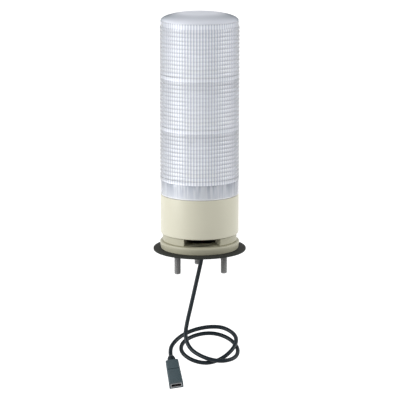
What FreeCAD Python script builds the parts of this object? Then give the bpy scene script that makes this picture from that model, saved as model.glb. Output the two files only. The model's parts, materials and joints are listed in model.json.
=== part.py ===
import FreeCAD, Part
import math
import os
import Sketcher

# Stack light, 60 mm size: three clear lens tiers on an ivory body with a sounder,
# held to a panel by three studs, with a short data lead that hangs below.
# Frame: origin at the centre of the gasket's underside, where the panel is.
# +Z is up the tower and -Y is the front, where the sound outlet is. Millimetres.

SIZES = [
    ("gasket_radius", "=ring_radius + gasket_margin", "rubber gasket, outer radius"),
    ("gasket_margin", 5.1, "rubber gasket, how far it stands out round the ring"),
    ("gasket_bore", 9.0, "rubber gasket, radius of the middle hole"),
    ("gasket_thick", 1.65, "rubber gasket, thickness"),
    ("stud_gap", 0.3, "play of the gasket round a stud's shoulder"),
    ("stud_count", 3, "mounting studs"),
    ("stud_radius", 2.5, "mounting stud, thread radius"),
    ("stud_shoulder", 0.3, "plain shoulder over the thread, how far it stands out"),
    ("stud_circle", "=ring_pocket - stud_edge", "radius of the circle that the studs stand on"),
    ("stud_edge", 3.8, "stud's middle, distance from the wall of the ring's pocket"),
    ("stud_reach", 16.8, "stud length below the panel face of the gasket"),
    ("stud_chamfer", 0.5, "chamfer at the stud's end"),
    ("stud_head_radius", 3.7, "stud's hexagon head, corner radius"),
    ("stud_head_height", 2.4, "stud's hexagon head, height"),
    ("ring_radius", "=body_radius + ring_proud", "mounting ring, radius at its top"),
    ("ring_proud", 0.5, "mounting ring, how far it stands out past the body"),
    ("ring_taper", 0.75, "mounting ring, how much smaller its radius is at the foot"),
    ("ring_height", 5.8, "mounting ring, height"),
    ("ring_floor", 3.0, "mounting ring, floor thickness"),
    ("ring_pocket", "=ring_radius - ring_wall", "mounting ring, radius of the pocket above its floor"),
    ("ring_wall", 6.0, "mounting ring, wall round the pocket"),
    ("ring_lip", 0.8, "mounting ring, chamfer of its top edge"),
    ("neck_radius", "=body_radius - neck_step", "sound neck, outer radius"),
    ("neck_step", 1.5, "sound neck, how far it lies back under the body"),
    ("neck_height", 5.9, "sound neck, height"),
    ("chamber_radius", 16.0, "sound chamber, radius"),
    ("scoop_width", 27.8, "sound outlet, chord at the neck's face"),
    ("scoop_depth", 6.2, "sound outlet, depth at its middle"),
    ("slot_width", 21.5, "sound slot, width"),
    ("slot_height", 4.2, "sound slot, height"),
    ("slot_drop", 0.5, "sound slot, distance below the top of the neck"),
    ("body_radius", 29.7, "body, outer radius; ring, neck and lens tiers follow it"),
    ("body_height", 30.1, "body, height"),
    ("body_wall", 2.4, "body, wall thickness"),
    ("body_floor", 3.0, "body, floor thickness"),
    ("body_ledge", 1.0, "body, width of the ledge under the tower base"),
    ("body_edge", 0.8, "body, chamfer of its bottom edge"),
    ("seal_width", 1.8, "flat seal on the body, width"),
    ("seal_thick", 0.5, "flat seal on the body, thickness"),
    ("screw_count", 4, "base screws"),
    ("screw_circle", "=neck_radius - screw_edge", "radius of the circle that the base screws stand on"),
    ("screw_edge", 2.2, "base screw's middle, distance from the neck's face"),
    ("screw_radius", 1.4, "base screw, thread radius"),
    ("screw_head_radius", 2.4, "base screw, head radius"),
    ("screw_head_height", 1.6, "base screw, head height"),
    ("screw_recess", 1.8, "recess for the base screw's head, depth"),
    ("screw_bite", 2.0, "base screw, length in the floor of the body"),
    ("board_gap", 0.8, "control board, play at its corners inside the ledge"),
    ("board_corner", 41.8, "control board, direction of its corner from X, degrees"),
    ("board_reach", "=body_radius - body_wall - body_ledge - board_gap", "control board, corner's distance"),
    ("board_length", "=2 * board_reach * cos(board_corner * 1deg)", "control board, size along X"),
    ("board_width", "=2 * board_reach * sin(board_corner * 1deg)", "control board, size along Y"),
    ("board_thick", 1.6, "circuit boards, thickness"),
    ("board_height", 13.3, "control board, height above the body floor"),
    ("boss_edge", 3.0, "board bosses, distance of their middle from the board's edges"),
    ("boss_x", "=board_length / 2 - boss_edge", "board bosses, distance from the middle along X"),
    ("boss_y", "=board_width / 2 - boss_edge", "board bosses, distance from the middle along Y"),
    ("boss_radius", 2.6, "board bosses, radius"),
    ("board_screw_radius", 1.1, "board screw, thread radius"),
    ("board_screw_length", 7.6, "board screw, length under its head"),
    ("board_screw_head", 2.2, "board screw, head radius"),
    ("board_screw_cap", 1.4, "board screw, head height"),
    ("buzzer_radius", 7.0, "buzzer, radius"),
    ("buzzer_height", 8.0, "buzzer, height"),
    ("buzzer_hole", 1.2, "buzzer, radius of its sound hole"),
    ("buzzer_offset", 12.0, "buzzer, distance in front of the middle"),
    ("driver_side", 9.0, "lamp driver chip, side"),
    ("driver_height", 1.2, "lamp driver chip, height"),
    ("driver_x", -6.0, "lamp driver chip, place along X"),
    ("driver_y", -4.0, "lamp driver chip, place along Y"),
    ("data_side", 6.0, "data chip, side"),
    ("data_height", 1.5, "data chip, height"),
    ("data_x", 6.0, "data chip, place along X"),
    ("data_y", -6.0, "data chip, place along Y"),
    ("capacitor_radius", 3.2, "capacitor, radius"),
    ("capacitor_gap", 2.2, "capacitor, space between its top and the tower base"),
    ("capacitor_x", 10.0, "capacitor, place along X"),
    ("capacitor_y", 4.0, "capacitor, place along Y"),
    ("header_length", 10.0, "cable header, size along X"),
    ("header_width", 6.0, "cable header, size along Y"),
    ("header_height", 8.0, "cable header, height"),
    ("link_length", 12.0, "tower connector, size along X"),
    ("link_width", 5.0, "tower connector, size along Y"),
    ("link_offset", 9.0, "tower connector, distance behind the middle"),
    ("base_plate", 2.0, "tower base, plate thickness"),
    ("drum_radius", "=lens_inner - drum_gap", "tower base, drum radius"),
    ("drum_gap", 1.0, "tower base, space between the drum and the clear collar"),
    ("drum_wall", 2.0, "tower base, drum wall"),
    ("lens_radius", "=body_radius", "lens tiers, radius of the ribbed wall, flush with the body"),
    ("lens_inner", "=lens_radius - lens_wall", "lens tiers, inner radius"),
    ("lens_wall", 1.9, "lens tiers, wall thickness"),
    ("lens_collar_height", 11.2, "clear collar under the tiers, height"),
    ("tier_pitch", 38.9, "lens tier, height from seam to seam"),
    ("band_radius", "=lens_radius + band_proud", "plain band at the foot of a tier, radius"),
    ("band_proud", 0.25, "plain band at the foot of a tier, how far it stands out"),
    ("band_height", 3.0, "plain band at the foot of a tier, height"),
    ("rim_height", 4.0, "plain rim over the top tier, height"),
    ("rim_radius", "=lens_radius - rim_step", "plain rim over the top tier, radius"),
    ("rim_step", 0.4, "plain rim over the top tier, how far it lies back"),
    ("flute_count", 84, "flutes round the inside of a tier"),
    ("flute_depth", 0.5, "flute, depth"),
    ("flute_overlap", 1.1, "flute, width over the pitch; above 1 the crests are sharp"),
    ("flute_width", "=2 * pi * lens_inner / flute_count * flute_overlap", "flute, width at the inner radius"),
    ("divider_radius", "=lens_inner + divider_bite", "divider, radius"),
    ("divider_bite", 0.9, "divider, how far it reaches into the lens wall"),
    ("divider_thick", 1.6, "divider, thickness"),
    ("tube_radius", 4.0, "centre tube, outer radius"),
    ("tube_bore", 3.0, "centre tube, inner radius"),
    ("led_board_radius", "=lens_inner - led_board_gap", "lamp board, corner radius"),
    ("led_board_gap", 5.3, "lamp board, space between its corners and the lens"),
    ("led_count", 8, "lamps on a board"),
    ("led_circle", "=led_board_radius - led_inset", "radius of the circle that the lamps stand on"),
    ("led_inset", 5.5, "lamp's middle, distance in from the board's corner radius"),
    ("led_size", 5.0, "lamp, side"),
    ("led_height", 1.6, "lamp, height"),
    ("reflector_radius", "=led_circle - led_size / 2 - reflector_gap", "reflector column, corner radius"),
    ("reflector_gap", 2.5, "reflector column, space between it and the lamps"),
    ("cap_radius", "=rim_radius - cap_step", "top cap, radius"),
    ("cap_step", 0.2, "top cap, how far it lies back from the rim"),
    ("cap_rise", 6.4, "top cap, height of the dome"),
    ("cap_wall", 1.8, "top cap, wall thickness"),
    ("cap_chords", 4, "top cap, chords from its rim to its middle"),
    ("cable_radius", 1.6, "data cable, radius"),
    ("cable_x", 2.5, "cable bush, distance to the right of the middle"),
    ("bush_radius", 5.0, "cable bush, radius in the floor of the ring"),
    ("bush_flange", 7.0, "cable bush, flange radius"),
    ("bush_flange_thick", 1.5, "cable bush, flange thickness"),
    ("lead_radius", 0.5, "inner lead, radius"),
    ("lead_spacing", 0.7, "inner leads, distance from the cable's axis along X and Y"),
    ("boot_length", 6.0, "plug boot, length"),
    ("boot_radius", 3.1, "plug boot, largest radius"),
    ("boot_tip", 2.4, "plug boot, radius where the cable enters"),
    ("plug_length", 25.0, "plug body, length"),
    ("plug_width_rear", 9.8, "plug body, width at the boot"),
    ("plug_width_front", 10.8, "plug body, width at the nose"),
    ("plug_height", 6.5, "plug body, height"),
    ("plug_chamfer", 1.1, "plug body, chamfer along its upper edges"),
    ("plug_roll", -8.0, "plug, roll about its own axis, degrees"),
    ("grip_start", 1.5, "grip recess, distance from the rear of the plug body"),
    ("grip_length", 7.0, "grip recess, length"),
    ("grip_height", 3.4, "grip recess, height"),
    ("grip_depth", 0.8, "grip recess, depth at the rear"),
    ("groove_place", 9.8, "groove across the plug, distance from the rear"),
    ("groove_width", 0.6, "groove across the plug, width"),
    ("groove_depth", 0.4, "groove across the plug, depth"),
    ("mouth_width", 8.3, "plug mouth, width"),
    ("mouth_height", 3.4, "plug mouth, height"),
    ("mouth_depth", 12.0, "plug mouth, depth"),
    ("shell_wall", 0.3, "metal shell in the mouth, thickness"),
    ("tongue_width", 5.6, "contact tongue, width"),
    ("tongue_thick", 1.0, "contact tongue, thickness"),
    ("tongue_length", 9.5, "contact tongue, length"),
    ("contact_count", 5, "contacts on the tongue"),
    ("contact_width", 0.5, "contact, width"),
    ("contact_thick", 0.15, "contact, thickness"),
    ("contact_length", 7.5, "contact, length"),
]

# The data cable's route, from the bush to the plug: down under its own weight,
# then two loose turns. Each corner is rounded by a tangent arc.
CABLE_ROUTE = [
    (2.5, 0.0, 6.15), (2.5, 0.0, -3.5), (-1.5, 0.3, -21.7), (-6.5, 0.0, -44.2),
    (-9.8, 0.0, -58.2), (-11.5, -1.0, -68.7), (-8.5, -7.0, -76.7), (-2.0, -14.0, -80.2),
    (7.0, -19.5, -82.7), (17.0, -21.0, -83.7), (27.0, -15.0, -82.7), (30.0, -3.0, -79.2),
    (25.5, 9.0, -75.2), (16.0, 16.0, -72.2), (5.5, 17.5, -71.7), (-5.5, 13.5, -73.2),
    (-13.5, 6.0, -76.2), (-15.0, -4.5, -80.2), (-8.0, -13.5, -84.2), (3.0, -17.5, -86.2),
    (13.5, -15.0, -84.7), (22.5, -10.0, -80.2), (28.5, -2.5, -74.7), (28.5, 7.5, -70.7),
    (20.5, 16.0, -67.2), (10.5, 18.0, -66.7), (-0.5, 16.0, -67.7), (-11.0, 11.5, -70.2),
    (-19.0, 3.5, -73.7), (-23.6, -5.0, -77.9), (-23.0, -12.4, -81.7),
]
ARC_SHARE = 0.45

# Heights up the tower, written as expressions of the sheet.
GASKET_TOP = "sizes.gasket_thick"
SHOULDER = "(sizes.stud_radius + sizes.stud_shoulder)"
FLOOR_TOP = f"({GASKET_TOP} + sizes.ring_floor)"
RING_TOP = f"({GASKET_TOP} + sizes.ring_height)"
NECK_TOP = f"({RING_TOP} + sizes.neck_height)"
BODY_FLOOR = f"({NECK_TOP} + sizes.body_floor)"
BODY_TOP = f"({NECK_TOP} + sizes.body_height)"
LEDGE = f"({BODY_TOP} - sizes.base_plate)"
BOARD_BASE = f"({BODY_FLOOR} + sizes.board_height)"
BOARD_TOP = f"({BOARD_BASE} + sizes.board_thick)"
COLLAR_TOP = f"({BODY_TOP} + sizes.lens_collar_height)"
TIERS = ("bottom", "middle", "top")
TIER_FOOT = {name: f"({COLLAR_TOP} + {step} * sizes.tier_pitch)" for step, name in enumerate(TIERS)}
TIER_HEAD = {name: f"({TIER_FOOT[name]} + sizes.tier_pitch)" for name in TIERS}
TOWER_TOP = f"({TIER_HEAD['top']} + sizes.rim_height)"
TIER_HEAD["top"] = TOWER_TOP
BODY_INNER = "(sizes.body_radius - sizes.body_wall)"

doc = FreeCAD.newDocument("stack_light")
sheet = doc.addObject("Spreadsheet::Sheet", "sizes")
for row, (alias, value, note) in enumerate(SIZES, start=1):
    sheet.set(f"A{row}", note)
    sheet.set(f"B{row}", str(value))
    sheet.setAlias(f"B{row}", alias)
doc.recompute()

nodes = []


def number(expression):
    """Value of an expression of the sheet, as a plain float."""
    value = sheet.evalExpression(expression)
    return float(getattr(value, "Value", value))


def piece(feature, label):
    """Name a finished sub-part, which is written to its own file."""
    feature.Label = label
    nodes.append(feature)
    return feature


def place(feature, at_x="0", at_y="0", at_z="0"):
    """Bind the place of a feature to three expressions."""
    for axis, expression in (("x", at_x), ("y", at_y), ("z", at_z)):
        feature.setExpression(f"Placement.Base.{axis}", expression)
    return feature


def cylinder(name, radius, height, at_z, at_x="0", at_y="0"):
    """Upright cylinder that stands on the height at_z."""
    feature = doc.addObject("Part::Cylinder", name)
    feature.setExpression("Radius", radius)
    feature.setExpression("Height", height)
    return place(feature, at_x, at_y, at_z)


def block(name, along_x, along_y, height, at_z, middle_x="0", middle_y="0"):
    """Box centred over a point of the plan, standing on the height at_z."""
    feature = doc.addObject("Part::Box", name)
    feature.setExpression("Length", along_x)
    feature.setExpression("Width", along_y)
    feature.setExpression("Height", height)
    return place(feature, f"{middle_x} - ({along_x}) / 2", f"{middle_y} - ({along_y}) / 2", at_z)


def cut(name, base, tools):
    """Base less its tools."""
    feature = doc.addObject("Part::Cut", name)
    feature.Base = base
    feature.Tool = tools[0] if len(tools) == 1 else fuse(name + "_tools", tools)
    return feature


def fuse(name, shapes):
    """One piece out of several shapes."""
    feature = doc.addObject("Part::MultiFuse", name)
    feature.Shapes = shapes
    return feature


def group(name, shapes):
    """Several separate solids that share one node."""
    feature = doc.addObject("Part::Compound", name)
    feature.Links = shapes
    return feature


def ring_points(radius, count, first=0.0, span=360.0):
    """Plan expressions of points evenly spaced on a circle, or on an arc ends included."""
    steps = count if span == 360.0 else count - 1
    for index in range(count):
        angle = first + span * index / steps
        yield index, angle, f"{radius} * cos({angle} deg)", f"{radius} * sin({angle} deg)"


def origin_plane(body, role):
    """One of the origin planes of a body."""
    return next(item for item in body.Origin.OriginFeatures if item.Role == role)


def corner_sketch(body, name, role, corners):
    """Closed outline through corners, each tied to the sheet by two expressions."""
    sketch = body.newObject("Sketcher::SketchObject", name)
    sketch.AttachmentSupport = (origin_plane(body, role), [""])
    sketch.MapMode = "FlatFace"
    points = [FreeCAD.Vector(number(right), number(up), 0) for right, up in corners]
    lines = [Part.LineSegment(start, end) for start, end in zip(points, points[1:] + points[:1])]
    sketch.addGeometry(lines, False)
    for index, (right, up) in enumerate(corners):
        following = (index + 1) % len(corners)
        sketch.addConstraint(Sketcher.Constraint("Coincident", index, 2, following, 1))
        tie(sketch, "DistanceX", index, right, points[index].x, f"right{index}")
        tie(sketch, "DistanceY", index, up, points[index].y, f"up{index}")
    return sketch


def tie(sketch, kind, index, expression, value, name):
    """Hold one coordinate of the start of a line: on the axis if it is 0, else by name."""
    if expression == "0":
        axis = -2 if kind == "DistanceX" else -1
        sketch.addConstraint(Sketcher.Constraint("PointOnObject", index, 1, axis))
        return
    number_of = sketch.addConstraint(Sketcher.Constraint(kind, -1, 1, index, 1, value))
    sketch.renameConstraint(number_of, name)
    sketch.setExpression(f"Constraints.{name}", expression)


def turned_body(name, corners):
    """Body turned about Z from an outline of (radius, height) corners."""
    body = doc.addObject("PartDesign::Body", name)
    sketch = corner_sketch(body, name + "_outline", "XZ_Plane", corners)
    turn = body.newObject("PartDesign::Revolution", name + "_turned")
    turn.Profile = sketch
    turn.ReferenceAxis = (sketch, ["V_Axis"])
    turn.Angle = 360.0
    body.Tip = turn
    doc.recompute()
    return body


def screw_bores(name, radius, height, at_z):
    """Upright bores on the circle of the base screws, round the sides and the back."""
    count = round(number("sizes.screw_count"))
    places = ring_points("sizes.screw_circle", count, 0.0, 180.0)
    return [cylinder(f"{name}_{index}", radius, height, at_z, x, y) for index, angle, x, y in places]


def stud_bores(name, radius, height, at_z):
    """Upright bores on the circle of the studs."""
    count = round(number("sizes.stud_count"))
    places = ring_points("sizes.stud_circle", count, 90.0)
    return [cylinder(f"{name}_{index}", radius, height, at_z, x, y) for index, angle, x, y in places]


def boss_places():
    """Plan expressions of the four board bosses."""
    for index, (side_x, side_y) in enumerate(((-1, -1), (1, -1), (1, 1), (-1, 1))):
        yield index, f"{side_x} * sizes.boss_x", f"{side_y} * sizes.boss_y"


def build_base_gasket():
    """Flat rubber ring between the light and the panel."""
    plate = turned_body("gasket_plate", [
        ("sizes.gasket_bore", "0"), ("sizes.gasket_radius", "0"),
        ("sizes.gasket_radius", GASKET_TOP), ("sizes.gasket_bore", GASKET_TOP)])
    holes = stud_bores("gasket_hole", f"{SHOULDER} + sizes.stud_gap", GASKET_TOP, "0")
    piece(cut("base_gasket", plate, holes), "base_gasket")


def build_mounting_ring():
    """Ivory ring with a floor that carries the studs, the bush and the screws."""
    ring = turned_body("ring_blank", [
        ("0", GASKET_TOP), ("sizes.ring_radius - sizes.ring_taper", GASKET_TOP),
        ("sizes.ring_radius", f"{RING_TOP} - sizes.ring_lip"),
        ("sizes.ring_radius - sizes.ring_lip", RING_TOP),
        ("sizes.ring_pocket", RING_TOP), ("sizes.ring_pocket", FLOOR_TOP), ("0", FLOOR_TOP)])
    tools = stud_bores("ring_stud_bore", SHOULDER, "sizes.ring_floor", GASKET_TOP)
    tools += screw_bores("ring_screw_bore", "sizes.screw_radius", "sizes.ring_height", GASKET_TOP)
    tools += screw_bores("ring_recess", "sizes.screw_head_radius", "sizes.screw_recess", GASKET_TOP)
    tools.append(cylinder("ring_bush_bore", "sizes.bush_radius", "sizes.ring_floor", GASKET_TOP,
                          "sizes.cable_x"))
    piece(cut("mounting_ring", ring, tools), "mounting_ring")


def build_mounting_studs():
    """Threaded studs with a plain shoulder in the ring and a hexagon head on its floor."""
    studs = []
    count = round(number("sizes.stud_count"))
    for index, angle, x, y in ring_points("sizes.stud_circle", count, 90.0):
        thread = cylinder(f"stud_thread_{index}", "sizes.stud_radius",
                          "sizes.stud_reach - sizes.stud_chamfer",
                          "sizes.stud_chamfer - sizes.stud_reach", x, y)
        shoulder = cylinder(f"stud_shoulder_{index}", SHOULDER, FLOOR_TOP, "0", x, y)
        end = doc.addObject("Part::Cone", f"stud_end_{index}")
        end.setExpression("Radius1", "sizes.stud_radius - sizes.stud_chamfer")
        end.setExpression("Radius2", "sizes.stud_radius")
        end.setExpression("Height", "sizes.stud_chamfer")
        place(end, x, y, "-sizes.stud_reach")
        head = doc.addObject("Part::Prism", f"stud_head_{index}")
        head.Polygon = 6
        head.setExpression("Circumradius", "sizes.stud_head_radius")
        head.setExpression("Height", "sizes.stud_head_height")
        place(head, x, y, FLOOR_TOP)
        studs.append(fuse(f"stud_{index}", [thread, shoulder, end, head]))
    piece(group("mounting_studs", studs), "mounting_studs")


def build_cable_bush():
    """Rubber bush in the floor of the ring, with the cable's bore."""
    top = f"({FLOOR_TOP} + sizes.bush_flange_thick)"
    stem = cylinder("bush_stem", "sizes.bush_radius", "sizes.ring_floor", GASKET_TOP, "sizes.cable_x")
    flange = cylinder("bush_flange", "sizes.bush_flange", "sizes.bush_flange_thick", FLOOR_TOP,
                      "sizes.cable_x")
    bore = cylinder("bush_bore", "sizes.cable_radius", f"{top} - {GASKET_TOP}", GASKET_TOP,
                    "sizes.cable_x")
    piece(cut("cable_bush", fuse("bush_blank", [stem, flange]), [bore]), "cable_bush")


def build_sound_neck():
    """Recessed neck with the sound outlet: a scoop in its face and a slot to the chamber."""
    neck = turned_body("neck_blank", [
        ("sizes.chamber_radius", RING_TOP), ("sizes.neck_radius", RING_TOP),
        ("sizes.neck_radius", NECK_TOP), ("sizes.chamber_radius", NECK_TOP)])
    # The scoop is a cylinder in front of the neck: its wall meets the neck's face at both
    # ends of the chord and is deepest in the middle.
    half_chord = "(sizes.scoop_width / 2)"
    chord_y = f"sqrt(sizes.neck_radius^2 - {half_chord}^2)"
    sagitta = f"(sizes.scoop_depth - sizes.neck_radius + {chord_y})"
    radius = f"(({half_chord}^2 + {sagitta}^2) / (2 * {sagitta}))"
    scoop = cylinder("neck_scoop", radius, "sizes.neck_height", RING_TOP,
                     "0", f"-(sizes.neck_radius - sizes.scoop_depth) - {radius}")
    slot_reach = "(sizes.neck_radius - sizes.chamber_radius)"
    slot = block("neck_slot", "sizes.slot_width", f"2 * {slot_reach}", "sizes.slot_height",
                 f"{NECK_TOP} - sizes.slot_drop - sizes.slot_height", "0",
                 "-sizes.chamber_radius")
    bores = screw_bores("neck_screw_bore", "sizes.screw_radius", "sizes.neck_height", RING_TOP)
    piece(cut("sound_neck", neck, [scoop, slot] + bores), "sound_neck")


def build_body_housing():
    """Ivory cup that holds the control board, with bosses, a ledge and a seal seat."""
    ledge_radius = f"({BODY_INNER} - sizes.body_ledge)"
    seat = f"({BODY_TOP} - sizes.seal_thick)"
    seat_radius = f"({BODY_INNER} + sizes.seal_width)"
    cup = turned_body("body_cup", [
        ("sizes.chamber_radius", NECK_TOP), ("sizes.body_radius - sizes.body_edge", NECK_TOP),
        ("sizes.body_radius", f"{NECK_TOP} + sizes.body_edge"),
        ("sizes.body_radius", BODY_TOP), (seat_radius, BODY_TOP), (seat_radius, seat),
        (BODY_INNER, seat), (BODY_INNER, LEDGE), (ledge_radius, LEDGE),
        (ledge_radius, BODY_FLOOR), ("sizes.chamber_radius", BODY_FLOOR)])
    parts = [cup]
    bores = screw_bores("body_screw_bore", "sizes.screw_radius", "sizes.screw_bite", NECK_TOP)
    for index, x, y in boss_places():
        parts.append(cylinder(f"boss_{index}", "sizes.boss_radius",
                              f"sizes.board_height + sizes.body_floor / 2",
                              f"{BODY_FLOOR} - sizes.body_floor / 2", x, y))
        depth = "(sizes.board_screw_length - sizes.board_thick)"
        bores.append(cylinder(f"boss_bore_{index}", "sizes.board_screw_radius", depth,
                              f"{BOARD_BASE} - {depth}", x, y))
    piece(cut("body_housing", fuse("body_blank", parts), bores), "body_housing")


def build_base_screws():
    """Screws from under the ring, through the neck, into the body's floor."""
    head_top = f"({GASKET_TOP} + sizes.screw_recess)"
    heads = screw_bores("screw_head", "sizes.screw_head_radius", "sizes.screw_head_height",
                        f"{head_top} - sizes.screw_head_height")
    shanks = screw_bores("screw_shank", "sizes.screw_radius",
                         f"{NECK_TOP} + sizes.screw_bite - {head_top}", head_top)
    screws = [fuse(f"base_screw_{index}", pair) for index, pair in enumerate(zip(heads, shanks))]
    piece(group("base_screws", screws), "base_screws")


def build_control_board():
    """Control board on the four bosses, with its screws, chips, buzzer and connectors."""
    board = block("board_plate", "sizes.board_length", "sizes.board_width", "sizes.board_thick",
                  BOARD_BASE)
    holes = []
    screws = []
    for index, x, y in boss_places():
        holes.append(cylinder(f"board_hole_{index}", "sizes.board_screw_radius",
                              "sizes.board_thick", BOARD_BASE, x, y))
        shank = cylinder(f"board_screw_shank_{index}", "sizes.board_screw_radius",
                         "sizes.board_screw_length", f"{BOARD_TOP} - sizes.board_screw_length", x, y)
        head = cylinder(f"board_screw_head_{index}", "sizes.board_screw_head",
                        "sizes.board_screw_cap", BOARD_TOP, x, y)
        screws.append(fuse(f"board_screw_{index}", [shank, head]))
    piece(cut("control_board", board, holes), "control_board")
    piece(group("board_screws", screws), "board_screws")


def build_board_parts():
    """What is soldered to the control board."""
    driver = block("driver_chip", "sizes.driver_side", "sizes.driver_side", "sizes.driver_height",
                   BOARD_TOP, "sizes.driver_x", "sizes.driver_y")
    data_chip = block("data_chip", "sizes.data_side", "sizes.data_side", "sizes.data_height",
                      BOARD_TOP, "sizes.data_x", "sizes.data_y")
    capacitor = cylinder("capacitor", "sizes.capacitor_radius",
                         f"{LEDGE} - sizes.capacitor_gap - {BOARD_TOP}", BOARD_TOP,
                         "sizes.capacitor_x", "sizes.capacitor_y")
    piece(group("board_chips", [driver, data_chip, capacitor]), "board_chips")
    buzzer_base = f"({BOARD_BASE} - sizes.buzzer_height)"
    case = cylinder("buzzer_case", "sizes.buzzer_radius", "sizes.buzzer_height", buzzer_base,
                    "0", "-sizes.buzzer_offset")
    hole = cylinder("buzzer_port", "sizes.buzzer_hole", "sizes.buzzer_height / 4", buzzer_base,
                    "0", "-sizes.buzzer_offset")
    piece(cut("buzzer", case, [hole]), "buzzer")
    header_base = f"({BOARD_BASE} - sizes.header_height)"
    header = block("cable_header", "sizes.header_length", "sizes.header_width",
                   "sizes.header_height", header_base, "sizes.cable_x", "0")
    piece(header, "cable_header")
    leads = []
    lead_base = f"({FLOOR_TOP} + sizes.bush_flange_thick)"
    for index, (side_x, side_y) in enumerate(((-1, -1), (1, -1), (1, 1), (-1, 1))):
        leads.append(cylinder(f"lead_{index}", "sizes.lead_radius", f"{header_base} - {lead_base}",
                              lead_base, f"sizes.cable_x + {side_x} * sizes.lead_spacing",
                              f"{side_y} * sizes.lead_spacing"))
    piece(group("inner_leads", leads), "inner_leads")
    link = block("tower_connector", "sizes.link_length", "sizes.link_width",
                 f"{LEDGE} - {BOARD_TOP}", BOARD_TOP, "0", "sizes.link_offset")
    piece(link, "tower_connector")


def build_tower_base():
    """White plate that closes the body, with a drum that carries the tower."""
    drum_inner = "(sizes.drum_radius - sizes.drum_wall)"
    piece(turned_body("tower_base", [
        ("0", LEDGE), (BODY_INNER, LEDGE), (BODY_INNER, BODY_TOP), ("sizes.drum_radius", BODY_TOP),
        ("sizes.drum_radius", COLLAR_TOP), (drum_inner, COLLAR_TOP), (drum_inner, BODY_TOP),
        ("0", BODY_TOP)]), "tower_base")


def build_lens_seal():
    """Flat black seal in the top of the body, under the clear collar."""
    outer = f"({BODY_INNER} + sizes.seal_width)"
    bottom = f"({BODY_TOP} - sizes.seal_thick)"
    piece(turned_body("lens_seal", [
        (BODY_INNER, bottom), (outer, bottom), (outer, BODY_TOP), (BODY_INNER, BODY_TOP)]), "lens_seal")


def build_lens_collar():
    """Plain clear collar between the body and the bottom tier."""
    piece(turned_body("lens_collar", [
        ("sizes.lens_inner", BODY_TOP), ("sizes.lens_radius", BODY_TOP),
        ("sizes.lens_radius", COLLAR_TOP), ("sizes.lens_inner", COLLAR_TOP)]), "lens_collar")


def build_lens(tier):
    """Lens tier: plain band at the foot, ribbed wall above, flutes down the inside."""
    foot = TIER_FOOT[tier]
    head = TIER_HEAD[tier]
    seat = f"({foot} + sizes.divider_thick)"
    band_top = f"({foot} + sizes.band_height)"
    outline = [
        ("sizes.divider_radius", foot), ("sizes.band_radius", foot),
        ("sizes.band_radius", band_top), ("sizes.lens_radius", band_top)]
    if tier == "top":
        rim_foot = f"({head} - sizes.rim_height)"
        outline += [("sizes.lens_radius", rim_foot), ("sizes.rim_radius", rim_foot),
                    ("sizes.rim_radius", head)]
    else:
        outline += [("sizes.lens_radius", head)]
    outline += [("sizes.lens_inner", head), ("sizes.lens_inner", seat), ("sizes.divider_radius", seat)]
    body = turned_body(f"lens_{tier}", outline)
    # One flute is a V cut from the crest circle outwards, and the pattern carries it round.
    half_width = "(sizes.flute_width / 2)"
    inside = "(sizes.lens_inner - sizes.flute_depth)"
    flute = corner_sketch(body, f"flute_{tier}_outline", "XY_Plane", [
        ("sizes.lens_inner + sizes.flute_depth", "0"), ("sizes.lens_inner", half_width),
        (inside, half_width), (inside, f"-{half_width}"), ("sizes.lens_inner", f"-{half_width}")])
    pocket = body.newObject("PartDesign::Pocket", f"flute_{tier}")
    pocket.Profile = flute
    pocket.Reversed = True
    pocket.Type = "Length"
    pocket.setExpression("Length", head)
    body.Tip = pocket
    doc.recompute()
    pattern = body.newObject("PartDesign::PolarPattern", f"flutes_{tier}")
    pattern.Originals = [pocket]
    pattern.Axis = (flute, ["N_Axis"])
    pattern.Angle = 360.0
    pattern.setExpression("Occurrences", "sizes.flute_count")
    body.Tip = pattern
    piece(body, f"lens_{tier}")


def build_tier_inside(tier):
    """Divider, lamp board, lamps and eight-sided reflector column of one tier."""
    foot = TIER_FOOT[tier]
    board_base = f"({foot} + sizes.divider_thick)"
    board_top = f"({board_base} + sizes.board_thick)"
    height = f"({TIER_HEAD[tier]} - {board_top})"
    disc = cylinder(f"divider_{tier}_disc", "sizes.divider_radius", "sizes.divider_thick", foot)
    disc_bore = cylinder(f"divider_{tier}_bore", "sizes.tube_radius", "sizes.divider_thick", foot)
    piece(cut(f"divider_{tier}", disc, [disc_bore]), f"divider_{tier}")
    board = doc.addObject("Part::Prism", f"led_board_{tier}_plate")
    board.Polygon = 8
    board.setExpression("Circumradius", "sizes.led_board_radius")
    board.setExpression("Height", "sizes.board_thick")
    place(board, at_z=board_base)
    board_bore = cylinder(f"led_board_{tier}_bore", "sizes.tube_radius", "sizes.board_thick", board_base)
    piece(cut(f"led_board_{tier}", board, [board_bore]), f"led_board_{tier}")
    count = round(number("sizes.led_count"))
    lamps = [block(f"led_{tier}_{index}", "sizes.led_size", "sizes.led_size", "sizes.led_height",
                   board_top, x, y)
             for index, angle, x, y in ring_points("sizes.led_circle", count, 180.0 / count)]
    piece(group(f"leds_{tier}", lamps), f"leds_{tier}")
    column = doc.addObject("Part::Prism", f"reflector_{tier}_column")
    column.Polygon = 8
    column.setExpression("Circumradius", "sizes.reflector_radius")
    column.setExpression("Height", height)
    place(column, at_z=board_top)
    bore = cylinder(f"reflector_{tier}_bore", "sizes.tube_radius", height, board_top)
    piece(cut(f"reflector_{tier}", column, [bore]), f"reflector_{tier}")


def build_centre_tube():
    """Tube up the middle of the tower that threads the tiers and carries their wires."""
    outer = cylinder("tube_outside", "sizes.tube_radius", f"{TOWER_TOP} - {BODY_TOP}", BODY_TOP)
    inner = cylinder("tube_inside", "sizes.tube_bore", f"{TOWER_TOP} - {BODY_TOP}", BODY_TOP)
    piece(cut("centre_tube", outer, [inner]), "centre_tube")


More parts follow.
